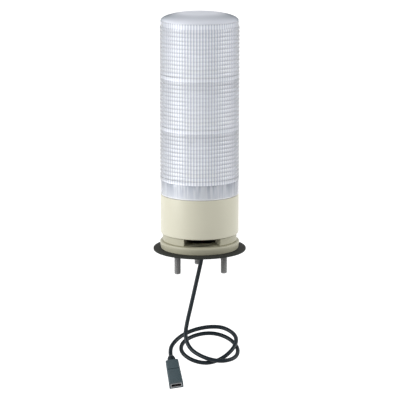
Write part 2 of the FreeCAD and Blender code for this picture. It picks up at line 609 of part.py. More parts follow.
def build_top_cap():
    """Clear shallow dome, a slice of a ball in short chords, resting on the rim of the top tier."""
    ball = "((sizes.cap_radius^2 + sizes.cap_rise^2) / (2 * sizes.cap_rise))"
    half_angle = f"asin(sizes.cap_radius / {ball})"
    chords = round(number("sizes.cap_chords"))
    outline = [("0", f"({TOWER_TOP} + sizes.cap_rise - sizes.cap_wall)"),
               ("sizes.cap_radius - sizes.cap_wall", TOWER_TOP)]
    for step in range(chords):
        angle = f"({half_angle} * {chords - step} / {chords})"
        outline.append((f"{ball} * sin({angle})",
                        f"{TOWER_TOP} + sizes.cap_rise - {ball} * (1 - cos({angle}))"))
    outline.append(("0", f"({TOWER_TOP} + sizes.cap_rise)"))
    piece(turned_body("top_cap", outline), "top_cap")


def arc_through(corner, before, after):
    """Tangent arc at a corner of the route, with its two ends and its radius."""
    run_in = before - corner
    run_out = after - corner
    turn = math.pi - run_in.getAngle(run_out)
    trim = ARC_SHARE * min(run_in.Length, run_out.Length)
    radius = trim / math.tan(turn / 2)
    way_in = run_in.normalize()
    way_out = run_out.normalize()
    start = corner + way_in * trim
    end = corner + way_out * trim
    inward = (way_in + way_out).normalize()
    middle = corner + inward * (radius / math.cos(turn / 2) - radius)
    return start, middle, end, radius


def build_cable():
    """Data cable: a tube swept along straight runs joined by tangent arcs."""
    corners = [FreeCAD.Vector(*point) for point in CABLE_ROUTE]
    edges = []
    radii = []
    last = corners[0]
    for before, corner, after in zip(corners, corners[1:], corners[2:]):
        start, middle, end, radius = arc_through(corner, before, after)
        edges.append(Part.LineSegment(last, start).toShape())
        edges.append(Part.Arc(start, middle, end).toShape())
        radii.append(radius)
        last = end
    edges.append(Part.LineSegment(last, corners[-1]).toShape())
    path = Part.Wire(edges)
    radius = number("sizes.cable_radius")
    section = Part.Wire(Part.Circle(corners[0], corners[1] - corners[0], radius).toShape())
    tube = path.makePipeShell([section], True, True)
    expected = math.pi * radius ** 2 * path.Length
    print("cable radii", [round(value, 1) for value in radii])
    print("cable length", round(path.Length, 1), "volume", round(tube.Volume, 1), "of", round(expected, 1))
    cable = doc.addObject("Part::Feature", "cable")
    cable.Shape = tube
    piece(cable, "cable")
    return corners


def plug_placement(corners):
    """Placement of the plug: its local -Y continues the last run of the cable."""
    axis = (corners[-1] - corners[-2]).normalize()
    yaw = math.degrees(math.atan2(axis.x, -axis.y))
    pitch = math.degrees(math.asin(-axis.z))
    turn = FreeCAD.Rotation(FreeCAD.Vector(0, 0, 1), yaw)
    tilt = FreeCAD.Rotation(FreeCAD.Vector(1, 0, 0), pitch)
    roll = FreeCAD.Rotation(FreeCAD.Vector(0, 1, 0), number("sizes.plug_roll"))
    return FreeCAD.Placement(corners[-1], turn.multiply(tilt).multiply(roll))


def plug_block(name, width, height, length, start, middle_z="0", middle_x="0"):
    """Box in the plug's own frame that runs from start towards the nose."""
    feature = doc.addObject("Part::Box", name)
    feature.setExpression("Length", width)
    feature.setExpression("Width", length)
    feature.setExpression("Height", height)
    return place(feature, f"{middle_x} - ({width}) / 2", f"-({start}) - ({length})",
                 f"{middle_z} - ({height}) / 2")


def build_plug_boot(placement):
    """Barrel at the rear of the plug, which the cable's end meets."""
    body = doc.addObject("PartDesign::Body", "plug_boot")
    outline = corner_sketch(body, "boot_outline", "XY_Plane", [
        ("0", "0"), ("sizes.boot_tip", "0"), ("sizes.boot_radius", "-sizes.boot_length / 3"),
        ("sizes.boot_radius", "-sizes.boot_length"), ("0", "-sizes.boot_length")])
    turn = body.newObject("PartDesign::Revolution", "boot_turned")
    turn.Profile = outline
    turn.ReferenceAxis = (outline, ["V_Axis"])
    turn.Angle = 360.0
    body.Tip = turn
    body.Placement = placement
    piece(body, "plug_boot")


def build_plug_body(placement):
    """Moulded plug: wider at the nose, with chamfered upper edges, grips and a mouth."""
    body = doc.addObject("PartDesign::Body", "plug_moulding")
    sections = []
    top = "(sizes.plug_height / 2)"
    for name, width, reach in (("rear", "sizes.plug_width_rear", "sizes.boot_length"),
                               ("front", "sizes.plug_width_front",
                                "sizes.boot_length + sizes.plug_length")):
        side = f"({width} / 2)"
        shoulder = f"({side} - sizes.plug_chamfer)"
        below = f"({top} - sizes.plug_chamfer)"
        section = corner_sketch(body, f"plug_{name}_outline", "XZ_Plane", [
            (f"-{side}", f"-{top}"), (side, f"-{top}"), (side, below),
            (shoulder, top), (f"-{shoulder}", top), (f"-{side}", below)])
        section.setExpression("AttachmentOffset.Base.z", reach)
        sections.append(section)
    loft = body.newObject("PartDesign::AdditiveLoft", "plug_loft")
    loft.Profile = sections[0]
    loft.Sections = sections[1:]
    loft.Ruled = True
    body.Tip = loft
    doc.recompute()
    tools = [plug_block("plug_mouth", "sizes.mouth_width", "sizes.mouth_height", "sizes.mouth_depth",
                        "sizes.boot_length + sizes.plug_length - sizes.mouth_depth")]
    tools.append(plug_block("plug_groove", "sizes.plug_width_front", "2 * sizes.groove_depth",
                            "sizes.groove_width", "sizes.boot_length + sizes.groove_place", top))
    for side, name in ((-1, "left"), (1, "right")):
        tools.append(plug_block(f"plug_grip_{name}", "2 * sizes.grip_depth", "sizes.grip_height",
                                "sizes.grip_length", "sizes.boot_length + sizes.grip_start", "0",
                                f"{side} * sizes.plug_width_rear / 2"))
    moulding = cut("plug_body", body, tools)
    moulding.Placement = placement
    piece(moulding, "plug_body")


def build_plug_contacts(placement):
    """Metal shell, tongue and contacts inside the mouth."""
    mouth_back = "(sizes.boot_length + sizes.plug_length - sizes.mouth_depth)"
    outside = plug_block("shell_outside", "sizes.mouth_width", "sizes.mouth_height",
                         "sizes.mouth_depth", mouth_back)
    inside = plug_block("shell_inside", "sizes.mouth_width - 2 * sizes.shell_wall",
                        "sizes.mouth_height - 2 * sizes.shell_wall", "sizes.mouth_depth", mouth_back)
    shell = cut("plug_shell", outside, [inside])
    shell.Placement = placement
    piece(shell, "plug_shell")
    tongue = plug_block("tongue_bar", "sizes.tongue_width", "sizes.tongue_thick",
                        "sizes.tongue_length", mouth_back)
    held = group("plug_tongue", [tongue])
    held.Placement = placement
    piece(held, "plug_tongue")
    count = round(number("sizes.contact_count"))
    strips = []
    for index in range(count):
        across = f"({index} - {(count - 1) / 2}) * sizes.tongue_width / sizes.contact_count"
        strips.append(plug_block(f"contact_{index}", "sizes.contact_width", "sizes.contact_thick",
                                 "sizes.contact_length", mouth_back,
                                 "(sizes.tongue_thick + sizes.contact_thick) / 2", across))
    contacts = group("plug_contacts", strips)
    contacts.Placement = placement
    piece(contacts, "plug_contacts")


def check(features):
    """Stop if any object failed or any sub-part has no valid shape."""
    for item in doc.Objects:
        for word in ("Invalid", "Error"):
            if word in item.State:
                raise RuntimeError(f"{item.Label} is {item.State}")
    for feature in features:
        if feature.Shape.isNull() or not feature.Shape.isValid():
            raise RuntimeError(f"{feature.Label} has no valid shape")


build_base_gasket()
build_mounting_ring()
build_mounting_studs()
build_cable_bush()
build_sound_neck()
build_body_housing()
build_base_screws()
build_control_board()
build_board_parts()
build_tower_base()
build_lens_seal()
build_lens_collar()
for tier_name in TIERS:
    build_lens(tier_name)
    build_tier_inside(tier_name)
build_centre_tube()
build_top_cap()
route = build_cable()
plug_place = plug_placement(route)
build_plug_boot(plug_place)
build_plug_body(plug_place)
build_plug_contacts(plug_place)
doc.recompute()
check(nodes)

os.makedirs("parts", exist_ok=True)
for node in nodes:
    node.Shape.exportStep(f"parts/{node.Label}.step")
print(len(nodes), "nodes,", sum(len(node.Shape.Solids) for node in nodes), "solids")
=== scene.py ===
"""Visual model of a 60 mm stack light: clear fluted tiers, ivory body, studs and a data lead.

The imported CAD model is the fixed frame. Each class below builds the visible surfaces of one
sub-assembly around it and gives them their finishes. Lengths are in metres; MM turns the
maker's millimetres into metres. +Z is up the tower and -Y is the front.
"""

from __future__ import annotations

import json
import logging
import math
from dataclasses import dataclass, field
from enum import Enum
from typing import ClassVar

import bmesh
import bpy
import numpy as np
from mathutils import Matrix, Vector

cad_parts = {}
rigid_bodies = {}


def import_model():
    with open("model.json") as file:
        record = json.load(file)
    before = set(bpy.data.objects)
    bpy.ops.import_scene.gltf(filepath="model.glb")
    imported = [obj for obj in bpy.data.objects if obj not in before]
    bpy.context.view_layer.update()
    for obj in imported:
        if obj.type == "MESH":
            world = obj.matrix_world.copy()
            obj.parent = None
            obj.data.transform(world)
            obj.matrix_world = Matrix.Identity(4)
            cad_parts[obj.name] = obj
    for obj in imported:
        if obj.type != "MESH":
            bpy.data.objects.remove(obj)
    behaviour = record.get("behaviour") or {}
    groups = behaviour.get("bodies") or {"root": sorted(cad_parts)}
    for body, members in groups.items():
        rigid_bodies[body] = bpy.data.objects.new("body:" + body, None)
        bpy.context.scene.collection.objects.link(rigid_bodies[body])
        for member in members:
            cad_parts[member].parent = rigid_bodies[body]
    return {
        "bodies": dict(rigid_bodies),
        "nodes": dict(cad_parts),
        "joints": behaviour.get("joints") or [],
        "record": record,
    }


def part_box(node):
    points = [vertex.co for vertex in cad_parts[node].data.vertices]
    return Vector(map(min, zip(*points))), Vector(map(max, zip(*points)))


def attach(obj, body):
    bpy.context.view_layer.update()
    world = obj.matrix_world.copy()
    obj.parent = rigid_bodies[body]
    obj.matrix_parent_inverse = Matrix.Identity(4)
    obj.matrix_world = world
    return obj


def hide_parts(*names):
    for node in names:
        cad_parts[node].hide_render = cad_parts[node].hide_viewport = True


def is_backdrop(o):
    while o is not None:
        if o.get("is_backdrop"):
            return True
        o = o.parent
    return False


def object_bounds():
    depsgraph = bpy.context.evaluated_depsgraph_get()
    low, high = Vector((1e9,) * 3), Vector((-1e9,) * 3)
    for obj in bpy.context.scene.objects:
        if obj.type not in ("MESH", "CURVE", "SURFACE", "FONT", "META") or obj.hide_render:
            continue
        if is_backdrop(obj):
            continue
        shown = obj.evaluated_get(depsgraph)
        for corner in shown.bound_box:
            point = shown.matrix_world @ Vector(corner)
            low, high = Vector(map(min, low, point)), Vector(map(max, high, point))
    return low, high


log = logging.getLogger("stack_light")

MM = 0.001
ROOT = "root"
TIERS = ("bottom", "middle", "top")
MERGE_DISTANCE = 1e-7
CLOUD_DETAIL = 3.0
GRAIN_DETAIL = 2.0
BUMP_HEIGHT = 0.05 * MM

Triple = tuple[float, float, float]
Colour = Triple
Socket = bpy.types.NodeSocket


class Shading(Enum):
    """How the facets of a new surface meet."""

    ROUND = math.radians(50.0)
    CRISP = math.radians(28.0)


# Surfaces


def rounded_outline(corners: list[Triple], steps: int = 6) -> np.ndarray:
    """Closed outline whose corners are tangent arcs.

    Each corner is cut back along both of its sides by the arc's tangent length, which is
    the radius over the tangent of half the corner's inner angle. The arc runs between the
    two cuts about a centre on the corner's bisector and sweeps half a turn less that angle.

    Args:
        corners: radius, height and rounding of each corner, counter-clockwise.
        steps: segments in each arc.

    Returns:
        Array of (radius, height) rows.
    """
    rows = []
    for index, (*corner, rounding) in enumerate(corners):
        if rounding <= 0:
            rows.append([corner])
            continue
        back, ahead = (np.subtract(corners[side % len(corners)][:2], corner)
                       for side in (index - 1, index + 1))
        back, ahead = back / np.linalg.norm(back), ahead / np.linalg.norm(ahead)
        half = math.acos(np.clip(back @ ahead, -1, 1)) / 2
        middle = (back + ahead) / np.linalg.norm(back + ahead)
        centre = corner + middle * rounding / math.sin(half)
        start = corner + back * rounding / math.tan(half) - centre
        end = corner + ahead * rounding / math.tan(half) - centre
        share = np.linspace(0, 1, steps + 1)[:, None]
        sweep = np.pi - 2 * half
        arc = (np.sin((1 - share) * sweep) * start + np.sin(share * sweep) * end) / math.sin(sweep)
        rows.append(centre + arc)
    return np.concatenate(rows)


def around(radius: np.ndarray, height: np.ndarray, columns: int) -> np.ndarray:
    """Grid of points round Z: (radius cos a, radius sin a, height) at each angle a.

    Args:
        radius: rows by columns, or by 1 where it is the same all round.
        height: rows by 1.
        columns: steps round the axis.

    Returns:
        Array of rows by columns by 3.
    """
    angle = np.linspace(0, 2 * np.pi, columns, endpoint=False)
    return np.stack([radius * np.cos(angle), radius * np.sin(angle), height + 0 * angle], axis=-1)


def lathe(outline: np.ndarray, columns: int = 192) -> np.ndarray:
    """Turn an outline of (radius, height) rows, counter-clockwise with the axis on its left."""
    return around(outline[:, :1], outline[:, 1:], columns)


def grid_faces(rows: int, columns: int, loop_rows: bool = True) -> np.ndarray:
    """Faces of a grid of points whose columns close on themselves.

    Each face joins a point to the next column, the next row and back.

    Args:
        rows: rows of points.
        columns: points in each row.
        loop_rows: whether the last row joins the first.

    Returns:
        Array of faces by 4.
    """
    index = np.arange(rows * columns).reshape(rows, columns)
    ahead = np.roll(index, -1, axis=1)
    faces = np.stack([index, ahead, np.roll(ahead, -1, 0), np.roll(index, -1, 0)], axis=-1)
    return faces[:rows if loop_rows else rows - 1].reshape(-1, 4)


def linked(name: str, data: bpy.types.ID) -> bpy.types.Object:
    """Make an object and put it in the scene.

    Args:
        name: name of the object.
        data: its mesh, curve, light or camera.

    Returns:
        The object.
    """
    made = bpy.data.objects.new(name, data)
    bpy.context.scene.collection.objects.link(made)
    return made


def mesh_piece(name: str, points: np.ndarray, shading: Shading = Shading.CRISP,
               faces: np.ndarray | None = None) -> bpy.types.Object:
    """Make an object from points and four-sided faces, with equal points merged.

    Args:
        name: name of the piece.
        points: array whose last axis is x, y and z.
        shading: how facets meet.
        faces: array of faces by 4, with outward winding. Without it, the points are a grid
            whose rows and columns close on themselves.

    Returns:
        The object, at the origin.
    """
    if faces is None:
        faces = grid_faces(*points.shape[:2])
    mesh = bpy.data.meshes.new(name)
    mesh.from_pydata(points.reshape(-1, 3).tolist(), [], faces.tolist())
    work = bmesh.new()
    work.from_mesh(mesh)
    bmesh.ops.remove_doubles(work, verts=work.verts, dist=MERGE_DISTANCE)
    work.to_mesh(mesh)
    work.free()
    mesh.polygons.foreach_set("use_smooth", np.ones(len(mesh.polygons), bool))
    mesh.set_sharp_from_angle(angle=shading.value)
    mesh.update()
    return linked(name, mesh)


# Finishes


class Nodes:
    """Small helper that lays nodes in a tree and joins them."""

    def __init__(self, tree: bpy.types.NodeTree) -> None:
        """Start with an empty tree."""
        self.tree = tree
        tree.nodes.clear()

    @classmethod
    def of(cls, owner: bpy.types.Material | bpy.types.World) -> Nodes:
        """Nodes of a material or a world."""
        owner.use_nodes = True
        return cls(owner.node_tree)

    def add(self, kind: str, inputs: dict[str | int, object] | None = None,
            **settings: object) -> bpy.types.Node:
        """Add a node.

        Args:
            kind: the node's type name.
            inputs: what feed() links or sets on it.
            settings: its properties by name.

        Returns:
            The new node.
        """
        node = self.tree.nodes.new(kind)
        for name, value in settings.items():
            setattr(node, name, value)
        self.feed(node, inputs or {})
        return node

    def feed(self, node: bpy.types.Node, inputs: dict[str | int, object]) -> None:
        """Link or set a node's inputs.

        Args:
            node: the node.
            inputs: a socket, number, tuple or colour for each input's name or index.
        """
        for label, value in inputs.items():
            target = node.inputs[label]
            if isinstance(value, Socket):
                self.tree.links.new(value, target)
            else:
                target.default_value = (*value, 1.0) if target.type == "RGBA" else value

    def maths(self, operation: str, *values: object) -> Socket:
        """Work out one operation on numbers, each a socket or a value."""
        return self.add("ShaderNodeMath", dict(enumerate(values)), operation=operation).outputs[0]

    def times(self, first: Socket, second: object) -> Socket:
        """Multiply two vectors or colours, axis by axis."""
        inputs = {0: first, 1: second}
        return self.add("ShaderNodeVectorMath", inputs, operation="MULTIPLY").outputs["Vector"]

    def scale(self, first: Socket, factor: Socket) -> Socket:
        """Multiply a vector or colour by a number."""
        inputs = {0: first, "Scale": factor}
        return self.add("ShaderNodeVectorMath", inputs, operation="SCALE").outputs["Vector"]

    def mix(self, share: object, first: object, second: object) -> Socket:
        """Mix two colours, each a socket or a colour, by a share."""
        inputs = {"Factor": share, "A": first, "B": second}
        return self.add("ShaderNodeMix", inputs, data_type="RGBA").outputs["Result"]

    def mix_shaders(self, share: object, first: object, second: object) -> Socket:
        """Mix two shaders by a share."""
        return self.add("ShaderNodeMixShader", {0: share, 1: first, 2: second}).outputs["Shader"]

    def span(self, value: Socket, low: float, high: float, start: float = 0.0,
             kind: str = "LINEAR") -> Socket:
        """Share of the way from low to high, from start to one and held at both ends."""
        inputs = {"Value": value, "From Min": low, "From Max": high, "To Min": start}
        return self.add("ShaderNodeMapRange", inputs, interpolation_type=kind).outputs["Result"]

    def noise(self, place: Socket, size: object, detail: float) -> Socket:
        """Noise of a scale and a detail at a place."""
        inputs = {"Vector": place, "Scale": size, "Detail": detail}
        return self.add("ShaderNodeTexNoise", inputs).outputs["Fac"]

    def place(self) -> Socket:
        """Object coordinates."""
        return self.add("ShaderNodeTexCoord").outputs["Object"]

    def axes(self) -> tuple[Socket, ...]:
        """Object coordinates as x, y and z."""
        return tuple(self.add("ShaderNodeSeparateXYZ", {"Vector": self.place()}).outputs)

    def off_axis(self) -> Socket:
        """Distance from the Z axis."""
        flat = self.times(self.place(), (1.0, 1.0, 0.0))
        return self.add("ShaderNodeVectorMath", {0: flat}, operation="LENGTH").outputs["Value"]

    def facing(self, power: float) -> Socket:
        """Slant at which the surface is seen, raised to a power: one at the outline."""
        return self.maths("POWER", self.add("ShaderNodeLayerWeight").outputs["Facing"], power)

    def seen(self) -> Socket:
        """Say whether a camera, gloss or transmission ray sees the point.

        Returns:
            The socket: one if so, otherwise nought.
        """
        path = self.add("ShaderNodeLightPath").outputs
        direct = self.maths("MAXIMUM", path["Is Camera Ray"], path["Is Glossy Ray"])
        return self.maths("MAXIMUM", direct, path["Is Transmission Ray"])


def surface_grain_group() -> bpy.types.NodeTree:
    """Group shared by all finishes: cloudy tone, uneven gloss and a fine bump.

    A slow noise shifts the colour's brightness and the roughness, and a fine one raises
    the surface. Both lie in Object coordinates.

    Returns:
        The node group.
    """
    name = "surface_grain"
    if name in bpy.data.node_groups:
        return bpy.data.node_groups[name]
    group = bpy.data.node_groups.new(name, "ShaderNodeTree")
    nodes = Nodes(group)
    kinds = {"Colour": "NodeSocketColor", "Normal": "NodeSocketVector"}
    ways = {"INPUT": ("Colour", "Tone Size", "Tone", "Roughness", "Uneven", "Grain Size", "Bump"),
            "OUTPUT": ("Colour", "Roughness", "Normal")}
    for way, labels in ways.items():
        for label in labels:
            kind = kinds.get(label, "NodeSocketFloat")
            group.interface.new_socket(label, in_out=way, socket_type=kind)
    inside = nodes.add("NodeGroupInput").outputs
    place = nodes.place()
    cloud = nodes.maths("SUBTRACT", nodes.noise(place, inside["Tone Size"], CLOUD_DETAIL), 0.5)
    value = nodes.maths("MULTIPLY_ADD", cloud, inside["Tone"], 1.0)
    bright = nodes.add("ShaderNodeHueSaturation", {"Color": inside["Colour"], "Value": value})
    bump = nodes.add("ShaderNodeBump", {
        "Height": nodes.noise(place, inside["Grain Size"], GRAIN_DETAIL),
        "Strength": inside["Bump"], "Distance": BUMP_HEIGHT})
    gloss = nodes.maths("MULTIPLY_ADD", cloud, inside["Uneven"], inside["Roughness"])
    nodes.add("NodeGroupOutput", {"Colour": bright.outputs["Color"], "Roughness": gloss,
                                  "Normal": bump.outputs["Normal"]})
    return group


@dataclass(frozen=True)
class Finish:
    """An opaque finish: a Principled shader fed by the shared grain group."""

    name: str
    colour: Colour
    roughness: float
    tone: float = 0.06
    tone_size: float = 60.0
    uneven: float = 0.06
    grain_size: float = 2500.0
    bump: float = 0.1
    metallic: float = 0.0
    specular: float = 0.5
    coat: float = 0.0

    def material(self) -> bpy.types.Material:
        """Build the material, unless it is there already.

        Returns:
            The material.
        """
        title = f"{self.name}_finish"
        if title in bpy.data.materials:
            return bpy.data.materials[title]
        made = bpy.data.materials.new(title)
        nodes = Nodes.of(made)
        inputs = {"Colour": self.colour, "Tone Size": self.tone_size, "Tone": self.tone,
                  "Roughness": self.roughness, "Uneven": self.uneven,
                  "Grain Size": self.grain_size, "Bump": self.bump}
        grain = nodes.add("ShaderNodeGroup", inputs, node_tree=surface_grain_group()).outputs
        shader = nodes.add("ShaderNodeBsdfPrincipled", {
            "Base Color": self.tint(nodes, grain["Colour"]), "Roughness": grain["Roughness"],
            "Normal": grain["Normal"], "Metallic": self.metallic,
            "Specular IOR Level": self.specular, "Coat Weight": self.coat})
        nodes.add("ShaderNodeOutputMaterial", {"Surface": self.surface(nodes, shader)})
        return made

    def tint(self, nodes: Nodes, colour: Socket) -> Socket:
        """Work out the finish's colour: here, the grain group's as it is.

        Args:
            nodes: the material's nodes.
            colour: the grain group's colour.

        Returns:
            The colour's socket.
        """
        return colour

    def surface(self, nodes: Nodes, shader: bpy.types.Node) -> Socket:
        """Complete the surface: here, the shader as it is.

        Args:
            nodes: the material's nodes.
            shader: its Principled shader.

        Returns:
            The socket for the material's output.
        """
        return shader.outputs["BSDF"]


@dataclass(frozen=True)
class EdgedRubber(Finish):
    """Rubber with painted light on its outer edge, which shows paler than its face."""

    edge_from: float = 34.3 * MM
    edge_to: float = 35.1 * MM
    edge_light_colour: Colour = (0.018, 0.0195, 0.0165)

    def tint(self, nodes: Nodes, colour: Socket) -> Socket:
        """Mix the painted edge light in by the distance from the axis."""
        share = nodes.span(nodes.off_axis(), self.edge_from, self.edge_to)
        return nodes.mix(share, colour, self.edge_light_colour)


@dataclass(frozen=True)
class ClearPlastic(Finish):
    """Clear moulded plastic with a faint lavender tint and slightly uneven gloss.

    Each of its surfaces lets a share of the lamps' light pass, so what lies inside is lit.
    """

    ior: float = 1.49
    transmission: float = 1.0
    light_through: float = 0.97
    # slant_shade: painted shade towards the outline, where the surface is seen at a slant
    slant_shade: float = 0.0
    slant_power: float = 1.0

    def tint(self, nodes: Nodes, colour: Socket) -> Socket:
        """Painted shade: darken the colour where the surface is seen at a slant, towards its
        outline.
        """
        slant = nodes.maths("MULTIPLY", nodes.facing(self.slant_power), self.slant_shade)
        return nodes.scale(colour, nodes.maths("SUBTRACT", 1.0, slant))

    def surface(self, nodes: Nodes, shader: bpy.types.Node) -> Socket:
        """Set the glass values and let a share of each shadow ray through.

        Args:
            nodes: the material's nodes.
            shader: its Principled shader.

        Returns:
            The socket for the material's output.
        """
        nodes.feed(shader, {"IOR": self.ior, "Transmission Weight": self.transmission})
        shadow = nodes.add("ShaderNodeLightPath").outputs["Is Shadow Ray"]
        clear = nodes.add("ShaderNodeBsdfTransparent").outputs["BSDF"]
        through = nodes.maths("MULTIPLY", shadow, self.light_through)
        return nodes.mix_shaders(through, shader.outputs["BSDF"], clear)


@dataclass(frozen=True)
class FlutedPlastic(ClearPlastic):
    """Clear plastic with painted light and shade in stripes, for how its flutes and rings gather
    light.

    The painted tone is bright along the middle of each flute and dark at its crests, has painted
    shade in the dips between the rings, more strongly towards a tier's foot, and painted light
    in the plain foot band.
    """

    dark: Colour = (0.57, 0.60, 0.68)
    slant_shade: float = 0.85
    slant_power: float = 1.5
    flutes: int = 84
    foot: float = 54.65 * MM
    tier: float = 38.9 * MM
    rings: int = 13
    ring_shade: float = 0.14
    ring_fade: float = 1.15
    ring_power: float = 3.0
    band_light: float = 1.07
    band_edges: tuple[float, float] = (0.9, 1.1)
    upper_place: float = 0.75
    upper_shade: float = 0.97
    top_shade: float = 0.92

    def tint(self, nodes: Nodes, colour: Socket) -> Socket:
        """Add the painted light and shade stripes to the colour.

        The flute mask is half of one less the cosine of the angle times the number of
        flutes. The ring mask is the cube of the distance from the ring's crest, from
        nought there to one between two rings.

        Args:
            nodes: the material's nodes.
            colour: the grain group's colour.

        Returns:
            The colour's socket.
        """
        x, y, z = nodes.axes()
        turned = nodes.maths("MULTIPLY", nodes.maths("ARCTAN2", y, x), float(self.flutes))
        wave = nodes.maths("COSINE", turned)
        height = nodes.maths("DIVIDE", nodes.maths("SUBTRACT", z, self.foot), self.tier)
        in_tier = nodes.maths("FRACT", height)
        # painted shade in the dips between the rings, stronger towards the tier's foot
        in_ring = nodes.maths("FRACT", nodes.maths("MULTIPLY", in_tier, float(self.rings)))
        off_crest = nodes.maths("ABSOLUTE", nodes.maths("MULTIPLY_ADD", in_ring, 2.0, -1.0))
        over_band = nodes.maths("GREATER_THAN", in_tier, 1.0 / self.rings)
        valley = nodes.maths("POWER", off_crest, self.ring_power)
        ring = nodes.maths("MULTIPLY", valley, over_band)
        shade = nodes.maths("MULTIPLY", ring, nodes.maths("SUBTRACT", self.ring_fade, in_tier))
        painted_ring_shade = nodes.maths("SUBTRACT", 1.0, nodes.maths("MULTIPLY", shade, self.ring_shade))
        # painted light and shade of the flute stripes
        striped = nodes.mix(nodes.maths("MULTIPLY_ADD", wave, -0.5, 0.5), self.dark, colour)
        toned = nodes.scale(striped, painted_ring_shade)
        return super().tint(nodes, nodes.times(toned, self.rise(nodes, in_tier)))

    def rise(self, nodes: Nodes, in_tier: Socket) -> Socket:
        """Painted tone by the place in the tier: painted light in its foot band, painted shade at
        its head.

        Args:
            nodes: the material's nodes.
            in_tier: place in the tier, from nought to one.

        Returns:
            The tone's socket.
        """
        steps = nodes.add("ShaderNodeValToRGB", {"Fac": in_tier})
        stops = steps.color_ramp.elements
        band_end, rings_start = (edge / self.rings for edge in self.band_edges)
        middle = [(band_end, self.band_light), (rings_start, 1.0),
                  (self.upper_place, self.upper_shade)]
        new = [(stops.new(at), tone) for at, tone in middle]
        for stop, tone in [(stops[0], self.band_light), *new, (stops[-1], self.top_shade)]:
            stop.color = (tone, tone, tone, 1.0)
        return steps.outputs["Color"]


@dataclass(frozen=True)
class RimmedPlastic(ClearPlastic):
    """Clear plastic of a dome with painted shade, greyer towards its rim where it is seen at a
    slant.
    """

    rim_shade_colour: Colour = (0.03, 0.065, 0.08)
    rim_from: float = 12.0 * MM
    rim_to: float = 25.0 * MM
    rim_power: float = 3.0

    def tint(self, nodes: Nodes, colour: Socket) -> Socket:
        """Mix the painted rim shade in by the distance from the middle and by the slant.

        Args:
            nodes: the material's nodes.
            colour: the grain group's colour.

        Returns:
            The colour's socket.
        """
        rim = nodes.span(nodes.off_axis(), self.rim_from, self.rim_to, kind="SMOOTHSTEP")
        share = nodes.maths("MULTIPLY", rim, nodes.facing(self.rim_power))
        return super().tint(nodes, nodes.mix(share, colour, self.rim_shade_colour))


@dataclass(frozen=True)
class StreakedPlastic(ClearPlastic):
    """Clear plastic with soft upright streaks of painted shade, standing in for the flutes above
    seen through it.

    The painted streaks are strongest at its head and fade out towards a lip of painted light at
    its foot.
    """

    dark: Colour = (0.42, 0.45, 0.51)
    slant_shade: float = 0.3
    lip_light_colour: Colour = (0.88, 0.885, 0.90)
    streak_size: float = 420.0
    streak_squash: float = 0.1
    streak_edges: tuple[float, float] = (0.38, 0.62)
    streak_detail: float = 1.0
    foot: float = 43.45 * MM
    height: float = 11.2 * MM
    foot_share: float = 0.25
    lip: float = 1.1 * MM

    def tint(self, nodes: Nodes, colour: Socket) -> Socket:
        """Mix the painted shade streaks and the painted light of the lip into the colour.

        The streaks are a noise whose height is pressed together, so it runs upright.

        Args:
            nodes: the material's nodes.
            colour: the grain group's colour.

        Returns:
            The colour's socket.
        """
        upright = nodes.times(nodes.place(), (1.0, 1.0, self.streak_squash))
        noise = nodes.noise(upright, self.streak_size, self.streak_detail)
        streak = nodes.span(noise, *self.streak_edges, kind="SMOOTHSTEP")
        height = nodes.axes()[2]
        climb = nodes.span(height, self.foot, self.foot + self.height, start=self.foot_share)
        streaked = nodes.mix(nodes.maths("MULTIPLY", streak, climb), colour, self.dark)
        in_lip = nodes.maths("LESS_THAN", height, self.foot + self.lip)
        return super().tint(nodes, nodes.mix(in_lip, streaked, self.lip_light_colour))


IVORY = Finish("ivory_plastic", (0.622, 0.604, 0.482), 0.34, tone=0.04, bump=0.06)
# darker ivory for the ring and neck: partly a more olive tone, partly painted shade on these
# lower, recessed parts
SHADED_IVORY = Finish("shaded_ivory_plastic", (0.405, 0.392, 0.293), 0.42, tone=0.10, bump=0.12)
RUBBER = EdgedRubber("black_rubber", (0.0135, 0.0145, 0.0112), 0.80, tone=1.2, tone_size=900.0,
                     grain_size=900.0, bump=0.9, specular=0.3)
SEAL = Finish("seal_rubber", (0.03, 0.03, 0.03), 0.7, tone=0.3)
STEEL = Finish("zinc_steel", (0.272, 0.272, 0.270), 0.60, tone=0.7, tone_size=900.0, uneven=0.2,
               metallic=0.6, specular=0.3)
FLUTED = FlutedPlastic("fluted_plastic", (0.97, 0.985, 1.0), 0.22, tone=0.02, bump=0.04,
                       transmission=0.5, specular=0.45)
STREAKED = StreakedPlastic("streaked_plastic", (0.72, 0.742, 0.78), 0.16, tone=0.03, bump=0.04,
                           transmission=0.5, specular=0.7)
CAP_CLEAR = RimmedPlastic("cap_plastic", (0.73, 0.75, 0.81), 0.22, tone=0.04, uneven=0.08,
                          bump=0.04, transmission=0.15, specular=0.0)
WHITE = Finish("white_plastic", (0.93, 0.93, 0.94), 0.55, tone=0.02)
BOARD_GREEN = Finish("board_lacquer", (0.03, 0.16, 0.07), 0.35, tone=0.2, coat=0.3)
BOARD_WHITE = Finish("white_lacquer", (0.80, 0.81, 0.82), 0.3, tone=0.04, coat=0.3)
LAMP = Finish("lamp_face", (0.85, 0.80, 0.50), 0.25, tone=0.08)
CHIP = Finish("chip_black", (0.03, 0.03, 0.033), 0.5, tone=0.2)
CONNECTOR = Finish("connector_white", (0.74, 0.74, 0.68), 0.5, tone=0.04)
SLEEVE = Finish("lead_sleeve", (0.38, 0.05, 0.04), 0.45, tone=0.1)
TUBE = Finish("tube_metal", (0.68, 0.69, 0.70), 0.35, tone=0.08, metallic=1.0)
JACKET = Finish("black_jacket", (0.003, 0.009, 0.0135), 0.36, tone=0.25, tone_size=250.0,
                bump=0.25, specular=0.22)
